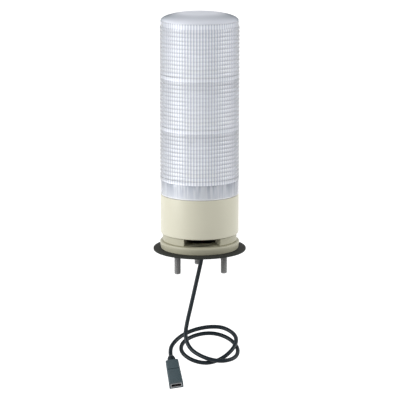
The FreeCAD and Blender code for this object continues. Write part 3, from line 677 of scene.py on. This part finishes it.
# painted shade: the buzzer's dark brown stands in for the shaded ivory seen deep in the sound slot
SLOT_SHADE_BROWN = Finish("slot_shade_brown_plastic", (0.16, 0.13, 0.07), 0.6, tone=0.1)
PLUG = Finish("plug_plastic", (0.036, 0.060, 0.071), 0.45, tone=0.35, tone_size=300.0, bump=0.5)
SHELL = Finish("plug_metal", (0.45, 0.45, 0.46), 0.3, tone=0.06, metallic=1.0)
TONGUE = Finish("tongue_plastic", (0.05, 0.05, 0.055), 0.5, tone=0.1)
CONTACT = Finish("contact_metal", (0.78, 0.58, 0.28), 0.3, tone=0.06, metallic=1.0)


# Pieces


@dataclass(frozen=True)
class Place:
    """Heights and radius of one CAD node, read from the frame."""

    foot: float
    head: float
    radius: float

    @classmethod
    def of(cls, node: str) -> Place:
        """Read the box of a CAD node: its lowest and highest point and half its width."""
        low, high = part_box(node)
        return cls(low.z, high.z, (high.x - low.x) / 2)

    def washer(self, bore: float, inner: float, outer: float, slope: float = 0.0) -> np.ndarray:
        """Outline of a flat ring of this place.

        Args:
            bore: its inner radius.
            inner: rounding of the inner corners.
            outer: rounding of the outer corners.
            slope: rise of its foot towards the outside.

        Returns:
            (radius, height) rows.
        """
        return rounded_outline([(bore, self.foot, inner), (self.radius, self.foot + slope, outer),
                                (self.radius, self.head, outer), (bore, self.head, inner)])


@dataclass
class SubAssembly:
    """Base of the sub-assemblies: new pieces over some CAD nodes, and finishes for the rest."""

    made: list[str] = field(default_factory=list)
    carried: ClassVar[dict[str, Finish]] = {}

    def build(self, frame: dict) -> None:
        """Make the new pieces and give the CAD nodes that stay their finishes.
        """
        self.pieces()
        for node, finish in self.carried.items():
            mesh = frame["nodes"][node].data
            mesh.materials.clear()
            mesh.materials.append(finish.material())
            self.made.append(node)

    def pieces(self) -> None:
        """Make the new pieces."""
        raise NotImplementedError

    def settle(self, piece: bpy.types.Object, finish: Finish, slot: str, node: str) -> None:
        """Give a piece its finish and its body, and hide the CAD node that it stands for.

        Args:
            piece: the new object.
            finish: its finish.
            slot: not used.
            node: CAD node that it replaces.
        """
        piece.data.materials.append(finish.material())
        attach(piece, ROOT)
        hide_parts(node)
        self.made.append(piece.name)


@dataclass
class Base(SubAssembly):
    """Gasket, mounting ring and studs."""

    carried = {"cable_bush": SEAL, "base_screws": STEEL}
    gasket_bore: float = 9.0 * MM
    gasket_rounding: float = 0.5 * MM
    ring_taper: float = 0.75 * MM
    ring_foot_rounding: float = 0.5 * MM
    lip_height: float = 1.6 * MM
    lip_foot_rounding: float = 0.6 * MM
    lip_rounding: float = 0.9 * MM
    ring_pocket: float = 24.2 * MM
    pocket_rounding: float = 0.3 * MM
    ring_floor: float = 3.0 * MM
    floor_hole: float = 5.0 * MM
    thread_pitch: float = 0.8 * MM
    thread_depth: float = 0.43 * MM
    thread_rows: int = 8
    flank_slope: float = 2.6
    crest_flat: float = 0.15
    stud_circle: float = 20.4 * MM
    stud_angles: tuple[float, ...] = (90.0, 210.0, 330.0)
    stud_radius: float = 2.5 * MM
    stud_columns: int = 32
    stud_chamfer: float = 0.6 * MM
    chamfer_depth: float = 0.45 * MM

    def pieces(self) -> None:
        """Make the gasket, the ring and the studs."""
        self.gasket()
        self.ring()
        self.studs()

    def gasket(self) -> None:
        """Flat rubber ring with rounded edges: a rounded rectangle turned about Z."""
        round_by = self.gasket_rounding
        outline = Place.of("base_gasket").washer(self.gasket_bore, round_by, round_by)
        piece = mesh_piece("gasket_dressed", lathe(outline), Shading.ROUND)
        self.settle(piece, RUBBER, "black_rubber", "base_gasket")

    def ring(self) -> None:
        """Mounting ring: a tapered bowl turned about Z, with a hole in its floor for the bush.

        The two rows at the hole leave the axis: their circle has the bush's own centre.
        """
        at = Place.of("mounting_ring")
        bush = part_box("cable_bush")
        bush_x = (bush[0].x + bush[1].x) / 2
        floor = at.foot + self.ring_floor
        middle = self.ring_pocket / 2
        outline = rounded_outline([
            (middle, at.foot, 0), (at.radius - self.ring_taper, at.foot, self.ring_foot_rounding),
            (at.radius, at.head - self.lip_height, self.lip_foot_rounding),
            (at.radius, at.head, self.lip_rounding),
            (self.ring_pocket, at.head, self.pocket_rounding), (self.ring_pocket, floor, 0),
            (middle, floor, 0)])
        body = lathe(outline)
        hole = lathe(np.array([[self.floor_hole, floor], [self.floor_hole, at.foot]]))
        hole[..., 0] += bush_x
        piece = mesh_piece("ring_dressed", np.concatenate([body, hole]))
        self.settle(piece, SHADED_IVORY, "ivory_plastic", "mounting_ring")

    def studs(self) -> None:
        """Threaded studs with hexagon heads.

        The thread's radius is the crest radius less a rounded triangle wave of the height
        minus the turned share of the pitch, so the wave climbs one pitch in each turn.
        """
        at = Place.of("mounting_studs")
        ring = Place.of("mounting_ring")
        rows = int(self.thread_rows * (ring.foot - at.foot) / self.thread_pitch)
        height = np.linspace(at.foot, ring.foot, rows)[:, None]
        angle = np.linspace(0, 2 * np.pi, self.stud_columns, endpoint=False)[None, :]
        turn = (height / self.thread_pitch - angle / (2 * np.pi)) % 1
        wave = np.clip(np.abs(turn - 0.5) * self.flank_slope - self.crest_flat, 0, 1)
        end = np.clip((at.foot + self.stud_chamfer - height) / self.stud_chamfer, 0, 1)
        radius = self.stud_radius - self.thread_depth * wave - self.chamfer_depth * end
        shank = around(radius, height, self.stud_columns)
        rod = np.concatenate([shank[:1] * [0, 0, 1], shank, shank[-1:] * [0, 0, 1]])
        turned = np.radians(self.stud_angles)
        sides = np.stack([np.cos(turned), np.sin(turned), 0 * turned], axis=-1)
        rods = rod.reshape(-1, 3) + self.stud_circle * sides[:, None]
        faces = grid_faces(*rod.shape[:2], loop_rows=False)
        faces = np.concatenate([faces + index * rod.size // 3 for index in range(len(sides))])
        piece = mesh_piece("studs_dressed", rods, Shading.ROUND, faces)
        self.settle(piece, STEEL, "zinc_steel", "mounting_studs")


@dataclass
class SounderBody(SubAssembly):
    """Neck with the sound outlet, ivory body and what is inside them."""

    carried = {
        "control_board": BOARD_GREEN, "board_screws": STEEL, "board_chips": CHIP, "buzzer": SLOT_SHADE_BROWN,
        "cable_header": CONNECTOR, "tower_connector": CONNECTOR, "inner_leads": SLEEVE}
    neck_bore: float = 16.0 * MM
    scoop_width: float = 27.8 * MM
    scoop_depth: float = 6.2 * MM
    slot_width: float = 21.5 * MM
    slot_steps: int = 64
    scoop_steps: int = 16
    rest_steps: int = 120
    joint_groove: float = 0.5 * MM
    body_rounding: float = 1.0 * MM
    body_wall: float = 2.4 * MM
    body_floor: float = 3.0 * MM
    top_rounding: float = 0.35 * MM

    def pieces(self) -> None:
        """Make the neck and the body."""
        self.neck()
        self.body()

    def neck(self) -> None:
        """Neck whose front is hollowed by the scoop and pierced by the sound slot.

        The outer radius at an angle is the neck's own, or the distance at which a ray from
        the axis meets the scoop's circle if that is less. Each column runs up the outer
        wall and down the inner one, and has points at both edges of the slot on each.
        Between two columns of the slot, its floor and ceiling take the place of the walls.
        The wall slopes back at its foot and head, so a fine groove shows at each joint.
        """
        at = Place.of("sound_neck")
        half = self.scoop_width / 2
        chord = math.sqrt(at.radius**2 - half**2)
        sagitta = self.scoop_depth - at.radius + chord
        scoop_radius = (half**2 + sagitta**2) / (2 * sagitta)
        scoop_middle = at.radius - self.scoop_depth + scoop_radius
        reach = math.asin(half / at.radius)
        slot_reach = math.asin(self.slot_width / 2 / (at.radius - self.scoop_depth))
        slot = np.linspace(-slot_reach, slot_reach, self.slot_steps + 1)
        scoop = np.linspace(slot_reach, reach, self.scoop_steps + 1)[1:]
        rest = np.linspace(reach, 2 * np.pi - reach, self.rest_steps + 1)[1:-1]
        angle = np.concatenate([-scoop[::-1], slot, scoop, rest])
        first, last = len(scoop), len(scoop) + len(slot) - 1
        beside = scoop_radius**2 - (scoop_middle * np.sin(angle))**2
        depth = scoop_middle * np.cos(angle) - np.sqrt(np.maximum(beside, 0))
        wall = np.where(np.abs(angle) <= reach, np.minimum(depth, at.radius), at.radius)
        upwards = [at.foot, at.foot + self.joint_groove, at.head - self.joint_groove, at.head]
        height = np.array(upwards + upwards[::-1])
        radii = np.concatenate([np.tile(wall, (4, 1)), np.full((4, len(angle)), self.neck_bore)])
        radii[[0, 3]] -= self.joint_groove
        heights = height[:, None] * np.ones_like(radii)
        mouth = math.asin(self.slot_width / 2 / self.neck_bore)
        margin = reach - slot_reach
        bore_angle = np.interp(angle, [-reach, -slot_reach, slot_reach, 2 * np.pi - reach],
                               [-mouth - margin, -mouth, mouth, 2 * np.pi - mouth - margin])
        angles = np.concatenate([np.tile(angle, (4, 1)), np.tile(bore_angle, (4, 1))])
        points = np.stack([radii * np.sin(angles), -radii * np.cos(angles), heights], axis=-1)
        outer_foot, outer_top, inner_top, inner_foot = 1, 2, 5, 6
        kept = np.ones(radii.shape, bool)
        kept[[outer_foot, inner_top], first:last] = False
        walls = grid_faces(*radii.shape)[kept.ravel()]
        index = np.arange(radii.size).reshape(radii.shape)
        here, ahead = index[:, first:last], index[:, first + 1:last + 1]
        bridges = [np.stack([here[low], ahead[low], ahead[high], here[high]], axis=-1)
                   for low, high in ((outer_foot, inner_foot), (inner_top, outer_top))]
        left = index[[outer_foot, inner_foot, inner_top, outer_top], first]
        right = index[[outer_top, inner_top, inner_foot, outer_foot], last]
        faces = np.concatenate([walls, *bridges, left[None], right[None]])
        piece = mesh_piece("neck_dressed", points, faces=faces)
        self.settle(piece, SHADED_IVORY, "ivory_plastic", "sound_neck")

    def body(self) -> None:
        """Ivory cup: the rounded outline of its wall and floor turned about Z."""
        at = Place.of("body_housing")
        inside = at.radius - self.body_wall
        floor = at.foot + self.body_floor
        seal = Place.of("lens_seal")
        outline = rounded_outline([
            (self.neck_bore, at.foot, 0), (at.radius, at.foot, self.body_rounding),
            (at.radius, at.head, self.top_rounding), (seal.radius, at.head, 0),
            (seal.radius, seal.foot, 0), (inside, seal.foot, 0), (inside, floor, 0),
            (self.neck_bore, floor, 0)])
        piece = mesh_piece("body_dressed", lathe(outline))
        self.settle(piece, IVORY, "ivory_plastic", "body_housing")


@dataclass
class LensTower(SubAssembly):
    """Clear collar, fluted tiers, dome and the white parts inside."""

    carried = {
        "tower_base": WHITE, "lens_seal": SEAL, "centre_tube": TUBE,
        **{f"{part}_{tier}": finish for tier in TIERS for part, finish in (
            ("divider", WHITE), ("reflector", WHITE), ("led_board", BOARD_WHITE), ("leds", LAMP))}}
    inner_radius: float = 27.8 * MM
    collar_rounding: float = 0.35 * MM
    inner_rounding: float = 0.1 * MM
    collar_gap: float = 0.35 * MM
    flute_count: int = 84
    flute_steps: int = 6
    flute_depth: float = 0.55 * MM
    ring_count: int = 12
    ring_steps: int = 8
    ring_height: float = 0.45 * MM
    ring_root: float = 29.5 * MM
    band_height: float = 3.0 * MM
    rim_height: float = 4.0 * MM
    rim_radius: float = 29.3 * MM
    seam_gap: float = 0.15 * MM
    cap_wall: float = 1.8 * MM
    cap_steps: int = 39

    def pieces(self) -> None:
        """Make the collar, the tiers and the dome."""
        self.collar()
        for tier in TIERS:
            self.tier(tier)
        self.cap()

    def collar(self) -> None:
        """Plain clear collar: a rounded rectangle turned about Z.

        Its foot slopes up to the outside, so a fine gap shows over the body.
        """
        outline = Place.of("lens_collar").washer(self.inner_radius, self.inner_rounding,
                                                 self.collar_rounding, self.collar_gap)
        piece = mesh_piece("collar_dressed", lathe(outline), Shading.ROUND)
        self.settle(piece, STREAKED, "clear_plastic", "lens_collar")

    def tier_outside(self, tier: str, at: Place) -> np.ndarray:
        """Outside of a tier from its foot up: plain band, then rounded rings.

        Over the band the radius is the root's plus the ring height times the sine of half
        a turn times the place in the ring.

        Args:
            tier: bottom, middle or top.
            at: the tier's place.

        Returns:
            (radius, height) rows, upwards.
        """
        foot = at.foot + self.seam_gap
        band_top = at.foot + self.band_height
        head = at.head - (self.rim_height if tier == "top" else 0)
        share = np.linspace(0, self.ring_count, self.ring_count * self.ring_steps + 1)[1:-1]
        place = share % 1
        radius = self.ring_root + self.ring_height * np.sin(np.pi * place)
        height = band_top + share * (head - band_top) / self.ring_count
        rings = np.stack([radius, height], axis=-1)
        band = [[at.radius - self.seam_gap, foot], [at.radius, foot + self.seam_gap],
                [at.radius, band_top - self.seam_gap], [self.ring_root, band_top]]
        top = [[self.ring_root, head]]
        if tier == "top":
            rim = self.rim_radius
            top += [[rim, head + self.seam_gap], [rim, at.head - self.seam_gap],
                    [rim - self.seam_gap, at.head]]
        return np.concatenate([band, rings, top])

    def tier(self, tier: str) -> None:
        """One fluted tier.

        The inner radius is the flutes' crest radius plus their depth times a half cosine
        wave of the angle, with as many waves as there are flutes.

        Args:
            tier: bottom, middle or top.
        """
        at = Place.of(f"lens_{tier}")
        divider = Place.of(f"divider_{tier}")
        columns = self.flute_count * self.flute_steps
        outside = lathe(self.tier_outside(tier, at), columns)
        angle = np.linspace(0, 2 * np.pi, columns, endpoint=False)
        wave = 0.5 - 0.5 * np.cos(self.flute_count * angle)
        fluted = self.inner_radius + self.flute_depth * wave
        plain = np.full(columns, divider.radius)
        heights = np.array([at.head, divider.head, divider.head, at.foot + self.seam_gap])
        inside = around(np.stack([fluted, fluted, plain, plain]), heights[:, None], columns)
        piece = mesh_piece(f"tier_{tier}_dressed", np.concatenate([outside, inside]))
        self.settle(piece, FLUTED, "clear_plastic", f"lens_{tier}")

    def cap(self) -> None:
        """Shallow dome with full shoulders: two flat ellipses turned about Z."""
        at = Place.of("top_cap")
        rise = at.head - at.foot
        angle = np.linspace(np.pi / 2, 0, self.cap_steps + 1)
        quarter = np.stack([np.sin(angle), np.cos(angle)], axis=-1)
        outer = quarter * [at.radius, rise] + [0, at.foot]
        inner = quarter[::-1] * [at.radius - self.cap_wall, rise - self.cap_wall] + [0, at.foot]
        piece = mesh_piece("cap_dressed", lathe(np.concatenate([outer, inner])))
        self.settle(piece, CAP_CLEAR, "clear_plastic", "top_cap")


@dataclass
class DataLead(SubAssembly):
    """Cable that hangs in two loose turns, with its moulded plug."""

    carried = {
        "plug_shell": SHELL, "plug_tongue": TONGUE, "plug_contacts": CONTACT}
    cable_diameter: float = 3.2 * MM
    cable_length: float = 350.9 * MM
    curve_steps: int = 12
    curve_order: int = 3
    round_steps: int = 8
    route: tuple[Triple, ...] = (
        (2.5, 0.0, 6.15), (2.5, 0.0, -3.5), (-1.5, 0.3, -21.7), (-6.5, 0.0, -44.2),
        (-9.8, 0.0, -58.2), (-11.5, -1.0, -68.7), (-8.5, -7.0, -76.7), (-2.0, -14.0, -80.2),
        (7.0, -19.5, -82.7), (17.0, -21.0, -83.7), (27.0, -15.0, -82.7), (30.0, -3.0, -79.2),
        (25.5, 9.0, -75.2), (16.0, 16.0, -72.2), (5.5, 17.5, -71.7), (-5.5, 13.5, -73.2),
        (-13.5, 6.0, -76.2), (-15.0, -4.5, -80.2), (-8.0, -13.5, -84.2), (3.0, -17.5, -86.2),
        (13.5, -15.0, -84.7), (22.5, -10.0, -80.2), (28.5, -2.5, -74.7), (28.5, 7.5, -70.7),
        (20.5, 16.0, -67.2), (10.5, 18.0, -66.7), (-0.5, 16.0, -67.7), (-11.0, 11.5, -70.2),
        (-19.0, 3.5, -73.7), (-23.6, -5.0, -77.9), (-23.0, -12.4, -81.7))
    plug_roll: float = -8.0
    boot_length: float = 6.0 * MM
    boot_radius: float = 3.1 * MM
    boot_barrel: float = 3.9 * MM
    boot_rounding: float = 0.8 * MM
    boot_ease: float = 0.1 * MM
    boot_tip: float = 2.4 * MM
    tip_rounding: float = 0.5 * MM
    boot_columns: int = 64
    corner_points: int = 9
    plug_length: float = 25.0 * MM
    rear_width: float = 9.8 * MM
    front_width: float = 10.8 * MM
    plug_height: float = 6.5 * MM
    upper_rounding: float = 1.3 * MM
    lower_rounding: float = 0.6 * MM
    rear_ease: float = 0.25 * MM
    nose_ease: float = 0.3 * MM
    end_scale: float = 0.94
    grip_start: float = 1.5 * MM
    grip_length: float = 7.0 * MM
    grip_height: float = 3.4 * MM
    grip_depth: float = 0.8 * MM
    groove_place: float = 9.8 * MM
    groove_width: float = 0.6 * MM
    groove_depth: float = 0.4 * MM
    groove_reach: float = 0.2 * MM
    step_run: float = 0.01 * MM
    mouth_width: float = 8.3 * MM
    mouth_height: float = 3.4 * MM
    mouth_rounding: float = 0.3 * MM
    mouth_depth: float = 12.0 * MM

    def build(self, frame: dict) -> None:
        super().build(frame)
        cable, *on_it = [bpy.data.objects[f"{name}_dressed"] for name in ("cable", "boot", "plug")]
        on_it += [frame["nodes"][name] for name in self.carried]
        tuple(np.array(self.route[0]) * MM)

    def pieces(self) -> None:
        """Make the cable, the boot and the plug."""
        self.cable()
        self.boot()
        self.plug()

    def cable(self) -> None:
        """Round cable on a smooth curve guided by the route's corners."""
        curve = bpy.data.curves.new("cable_dressed", "CURVE")
        curve.dimensions = "3D"
        curve.resolution_u = self.curve_steps
        curve.bevel_depth = self.cable_diameter / 2
        curve.bevel_resolution = self.round_steps
        curve.use_fill_caps = True
        line = curve.splines.new("NURBS")
        line.points.add(len(self.route) - 1)
        points = np.ones((len(self.route), 4))
        points[:, :3] = np.array(self.route) * MM
        line.points.foreach_set("co", points.ravel())
        line.order_u = self.curve_order
        line.use_endpoint_u = True
        self.settle(linked("cable_dressed", curve), JACKET, "black_jacket", "cable")

    def in_plug_frame(self, points: np.ndarray) -> np.ndarray:
        """Carry points from the plug's own frame into the part's.

        The plug's own -Y continues the cable's last run. The turn is a yaw about Z, then a
        pitch about X, then a roll about the plug's axis.

        Args:
            points: array whose last axis is x, y and z.

        Returns:
            The same points in the part's frame.
        """
        *_, before, last = np.array(self.route) * MM
        axis = (last - before) / np.linalg.norm(last - before)
        yaw = math.atan2(axis[0], -axis[1])
        turn = (Matrix.Rotation(yaw, 3, "Z") @ Matrix.Rotation(math.asin(-axis[2]), 3, "X")
                @ Matrix.Rotation(math.radians(self.plug_roll), 3, "Y"))
        return points @ np.array(turn).T + last

    def boot(self) -> None:
        """Barrel at the plug's rear: a radius along the plug's axis, turned about it."""
        reach = self.boot_length
        outline = rounded_outline([
            (0, -reach, 0), (self.boot_radius, -reach, self.boot_ease),
            (self.boot_radius, self.boot_barrel - reach, self.boot_rounding),
            (self.boot_tip, -self.boot_ease, self.tip_rounding),
            (self.cable_diameter / 2, 0, 0), (0, 0, 0)])
        points = lathe(outline, self.boot_columns)[..., [0, 2, 1]] * [-1, 1, 1]
        faces = grid_faces(*points.shape[:2], loop_rows=False)
        piece = mesh_piece("boot_dressed", self.in_plug_frame(points), Shading.ROUND, faces)
        self.settle(piece, JACKET, "black_jacket", "plug_boot")

    def section(self, width: np.ndarray, height: float, upper: float, lower: float) -> np.ndarray:
        """Rounded rectangle for each width.

        Each quarter is an arc of its corner's radius about a centre set in from the
        corner by that radius, and the quarters are joined by straight sides.

        Args:
            width: one width for each section.
            height: height of all sections.
            upper: rounding of the upper corners.
            lower: rounding of the lower corners.

        Returns:
            Array of sections by points by 2, counter-clockwise seen from the nose.
        """
        quarter = np.linspace(0, np.pi / 2, self.corner_points)
        parts = []
        ways = ((1, 1, upper), (-1, 1, upper), (-1, -1, lower), (1, -1, lower))
        for index, (side, level, rounding) in enumerate(ways):
            angle = quarter + index * np.pi / 2
            across = side * (width[:, None] / 2 - rounding) + rounding * np.cos(angle)
            up = level * (height / 2 - rounding) + rounding * np.sin(angle)
            parts.append(np.stack([across, np.broadcast_to(up, across.shape)], axis=-1))
        return np.concatenate(parts, axis=1)

    def plug(self) -> None:
        """Moulded plug: rounded sections along its axis, then its nose and the mouth.

        Side points lie deeper by the grip's depth where they are within the grip's height
        and length, and top points lie lower by the groove's depth within its width.
        """
        cuts = ((self.grip_start, self.grip_length), (self.groove_place, self.groove_width))
        marks = [start + run for start, length in cuts
                 for run in (0, self.step_run, length - self.step_run, length)]
        nose = self.plug_length
        along = np.array([0, self.rear_ease, *marks, nose - self.nose_ease, nose])
        in_grip, in_groove = [((along > start) & (along < start + length))[:, None]
                              for start, length in cuts]
        width = self.rear_width + (self.front_width - self.rear_width) * along / nose
        outer = self.section(width, self.plug_height, self.upper_rounding, self.lower_rounding)
        outer[[0, -1]] *= self.end_scale
        top = outer[..., 1] > self.plug_height / 2 - self.groove_reach
        outer[..., 1] -= self.groove_depth * (in_groove & top)
        level = np.abs(outer[..., 1]) < self.grip_height / 2
        outer[..., 0] -= np.sign(outer[..., 0]) * self.grip_depth * (in_grip & level)
        mouth = self.section(np.full(2, self.mouth_width), self.mouth_height,
                             self.mouth_rounding, self.mouth_rounding)
        across, up = np.moveaxis(np.concatenate([outer, mouth]), -1, 0)
        reach = np.append(along, [nose, nose - self.mouth_depth]) + self.boot_length
        points = np.stack([across, np.broadcast_to(-reach[:, None], across.shape), up], axis=-1)
        ends = points[[0, -1]][:, None] * [0, 1, 0]
        points = self.in_plug_frame(np.concatenate([ends[0], points, ends[1]]))
        faces = grid_faces(*points.shape[:2], loop_rows=False)
        piece = mesh_piece("plug_dressed", points, faces=faces)
        self.settle(piece, PLUG, "black_jacket", "plug_body")


# Studio


@dataclass
class Studio:
    """Camera, lights, world and floor."""

    camera_place: Triple = (-0.1143, -1.4525, 0.346)
    camera_yaw: float = -4.51
    camera_pitch: float = 11.93
    focal_length: float = 176.2
    near_clip: float = 0.05
    far_clip: float = 50.0
    floor_height: float = -0.25
    floor_size: float = 12.0
    floor_tone: float = 0.45
    floor_glow: float = 0.9
    world_light: float = 0.545
    lamp_aim: Triple = (0.0, 0.0, 0.06)
    key_place: Triple = (-1.40, -0.42, 0.45)
    key_size: float = 1.1
    key_power: float = 20.4
    fill_place: Triple = (1.3, -0.25, 0.5)
    fill_size: float = 0.9
    fill_power: float = 9.9

    def build(self) -> None:
        """Make the stage, the lights and the camera."""
        self.world()
        self.floor()
        self.lamp("key_light", self.key_place, self.key_size, self.key_power)
        self.lamp("fill_light", self.fill_place, self.fill_size, self.fill_power)
        self.camera()
        bpy.context.scene.view_settings.view_transform = "Standard"

    def world(self) -> None:
        """Soft white surroundings, plain white where seen directly, in gloss or through glass."""
        world = bpy.data.worlds.new("studio")
        bpy.context.scene.world = world
        nodes = Nodes.of(world)
        light = nodes.span(nodes.seen(), 0.0, 1.0, start=self.world_light)
        white = (1.0, 1.0, 1.0)
        background = nodes.add("ShaderNodeBackground", {"Color": white, "Strength": light})
        nodes.add("ShaderNodeOutputWorld", {"Surface": background.outputs["Background"]})

    def floor(self) -> None:
        """Pale floor under the hanging lead, clear when seen from below."""
        square = np.array([(-1, -1, 0), (1, -1, 0), (1, 1, 0), (-1, 1, 0)])
        points = square * self.floor_size / 2 + [0, 0, self.floor_height]
        floor = mesh_piece("studio_floor", points, faces=np.arange(len(square))[None])
        floor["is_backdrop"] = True
        made = bpy.data.materials.new("studio_floor")
        nodes = Nodes.of(made)
        tone = (self.floor_tone, self.floor_tone, self.floor_tone)
        diffuse = nodes.add("ShaderNodeBsdfDiffuse", {"Color": tone}).outputs["BSDF"]
        strength = nodes.maths("MULTIPLY", nodes.seen(), self.floor_glow)
        glow = nodes.add("ShaderNodeEmission", {"Strength": strength}).outputs["Emission"]
        both = nodes.add("ShaderNodeAddShader", {0: diffuse, 1: glow}).outputs["Shader"]
        under = nodes.add("ShaderNodeNewGeometry").outputs["Backfacing"]
        clear = nodes.add("ShaderNodeBsdfTransparent").outputs["BSDF"]
        nodes.add("ShaderNodeOutputMaterial", {"Surface": nodes.mix_shaders(under, both, clear)})
        floor.data.materials.append(made)

    def lamp(self, name: str, place: Triple, size: float, power: float) -> None:
        """Square soft light that faces the middle of the tower.

        Args:
            name: name of the light.
            place: where it stands.
            size: side of its face.
            power: power in watts.
        """
        data = bpy.data.lights.new(name, "AREA")
        data.size = size
        data.energy = power
        lamp = linked(name, data)
        lamp.location = place
        aim = Vector(self.lamp_aim) - Vector(place)
        lamp.rotation_euler = aim.to_track_quat("-Z", "Y").to_euler()

    def camera(self) -> None:
        """Long lens, slightly left of the front and above the part."""
        data = bpy.data.cameras.new("studio_camera")
        data.lens = self.focal_length
        data.clip_start = self.near_clip
        data.clip_end = self.far_clip
        camera = linked("studio_camera", data)
        camera.location = self.camera_place
        pitch, yaw = math.radians(90.0 - self.camera_pitch), math.radians(self.camera_yaw)
        camera.rotation_euler = (pitch, 0.0, yaw)
        bpy.context.scene.camera = camera


def clear_scene() -> None:
    """Remove whatever a new file starts with."""
    for item in list(bpy.data.objects):
        bpy.data.objects.remove(item)


def corners(bounds: tuple[Vector, Vector]) -> list[list[float]]:
    """Both corners of a box as plain lists."""
    return [list(corner) for corner in bounds]


def main() -> None:
    """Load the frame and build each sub-assembly."""
    logging.basicConfig(level=logging.INFO, format="%(name)s: %(message)s")
    clear_scene()
    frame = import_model()
    cad_box = corners(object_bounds())
    for assembly in (Base(), SounderBody(), LensTower(), DataLead()):
        assembly.build(frame)
        log.info("%s: %s", type(assembly).__name__, ", ".join(assembly.made))
    Studio().build()
    {"cad": cad_box, "visual": corners(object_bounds())}


if __name__ == "__main__":
    main()
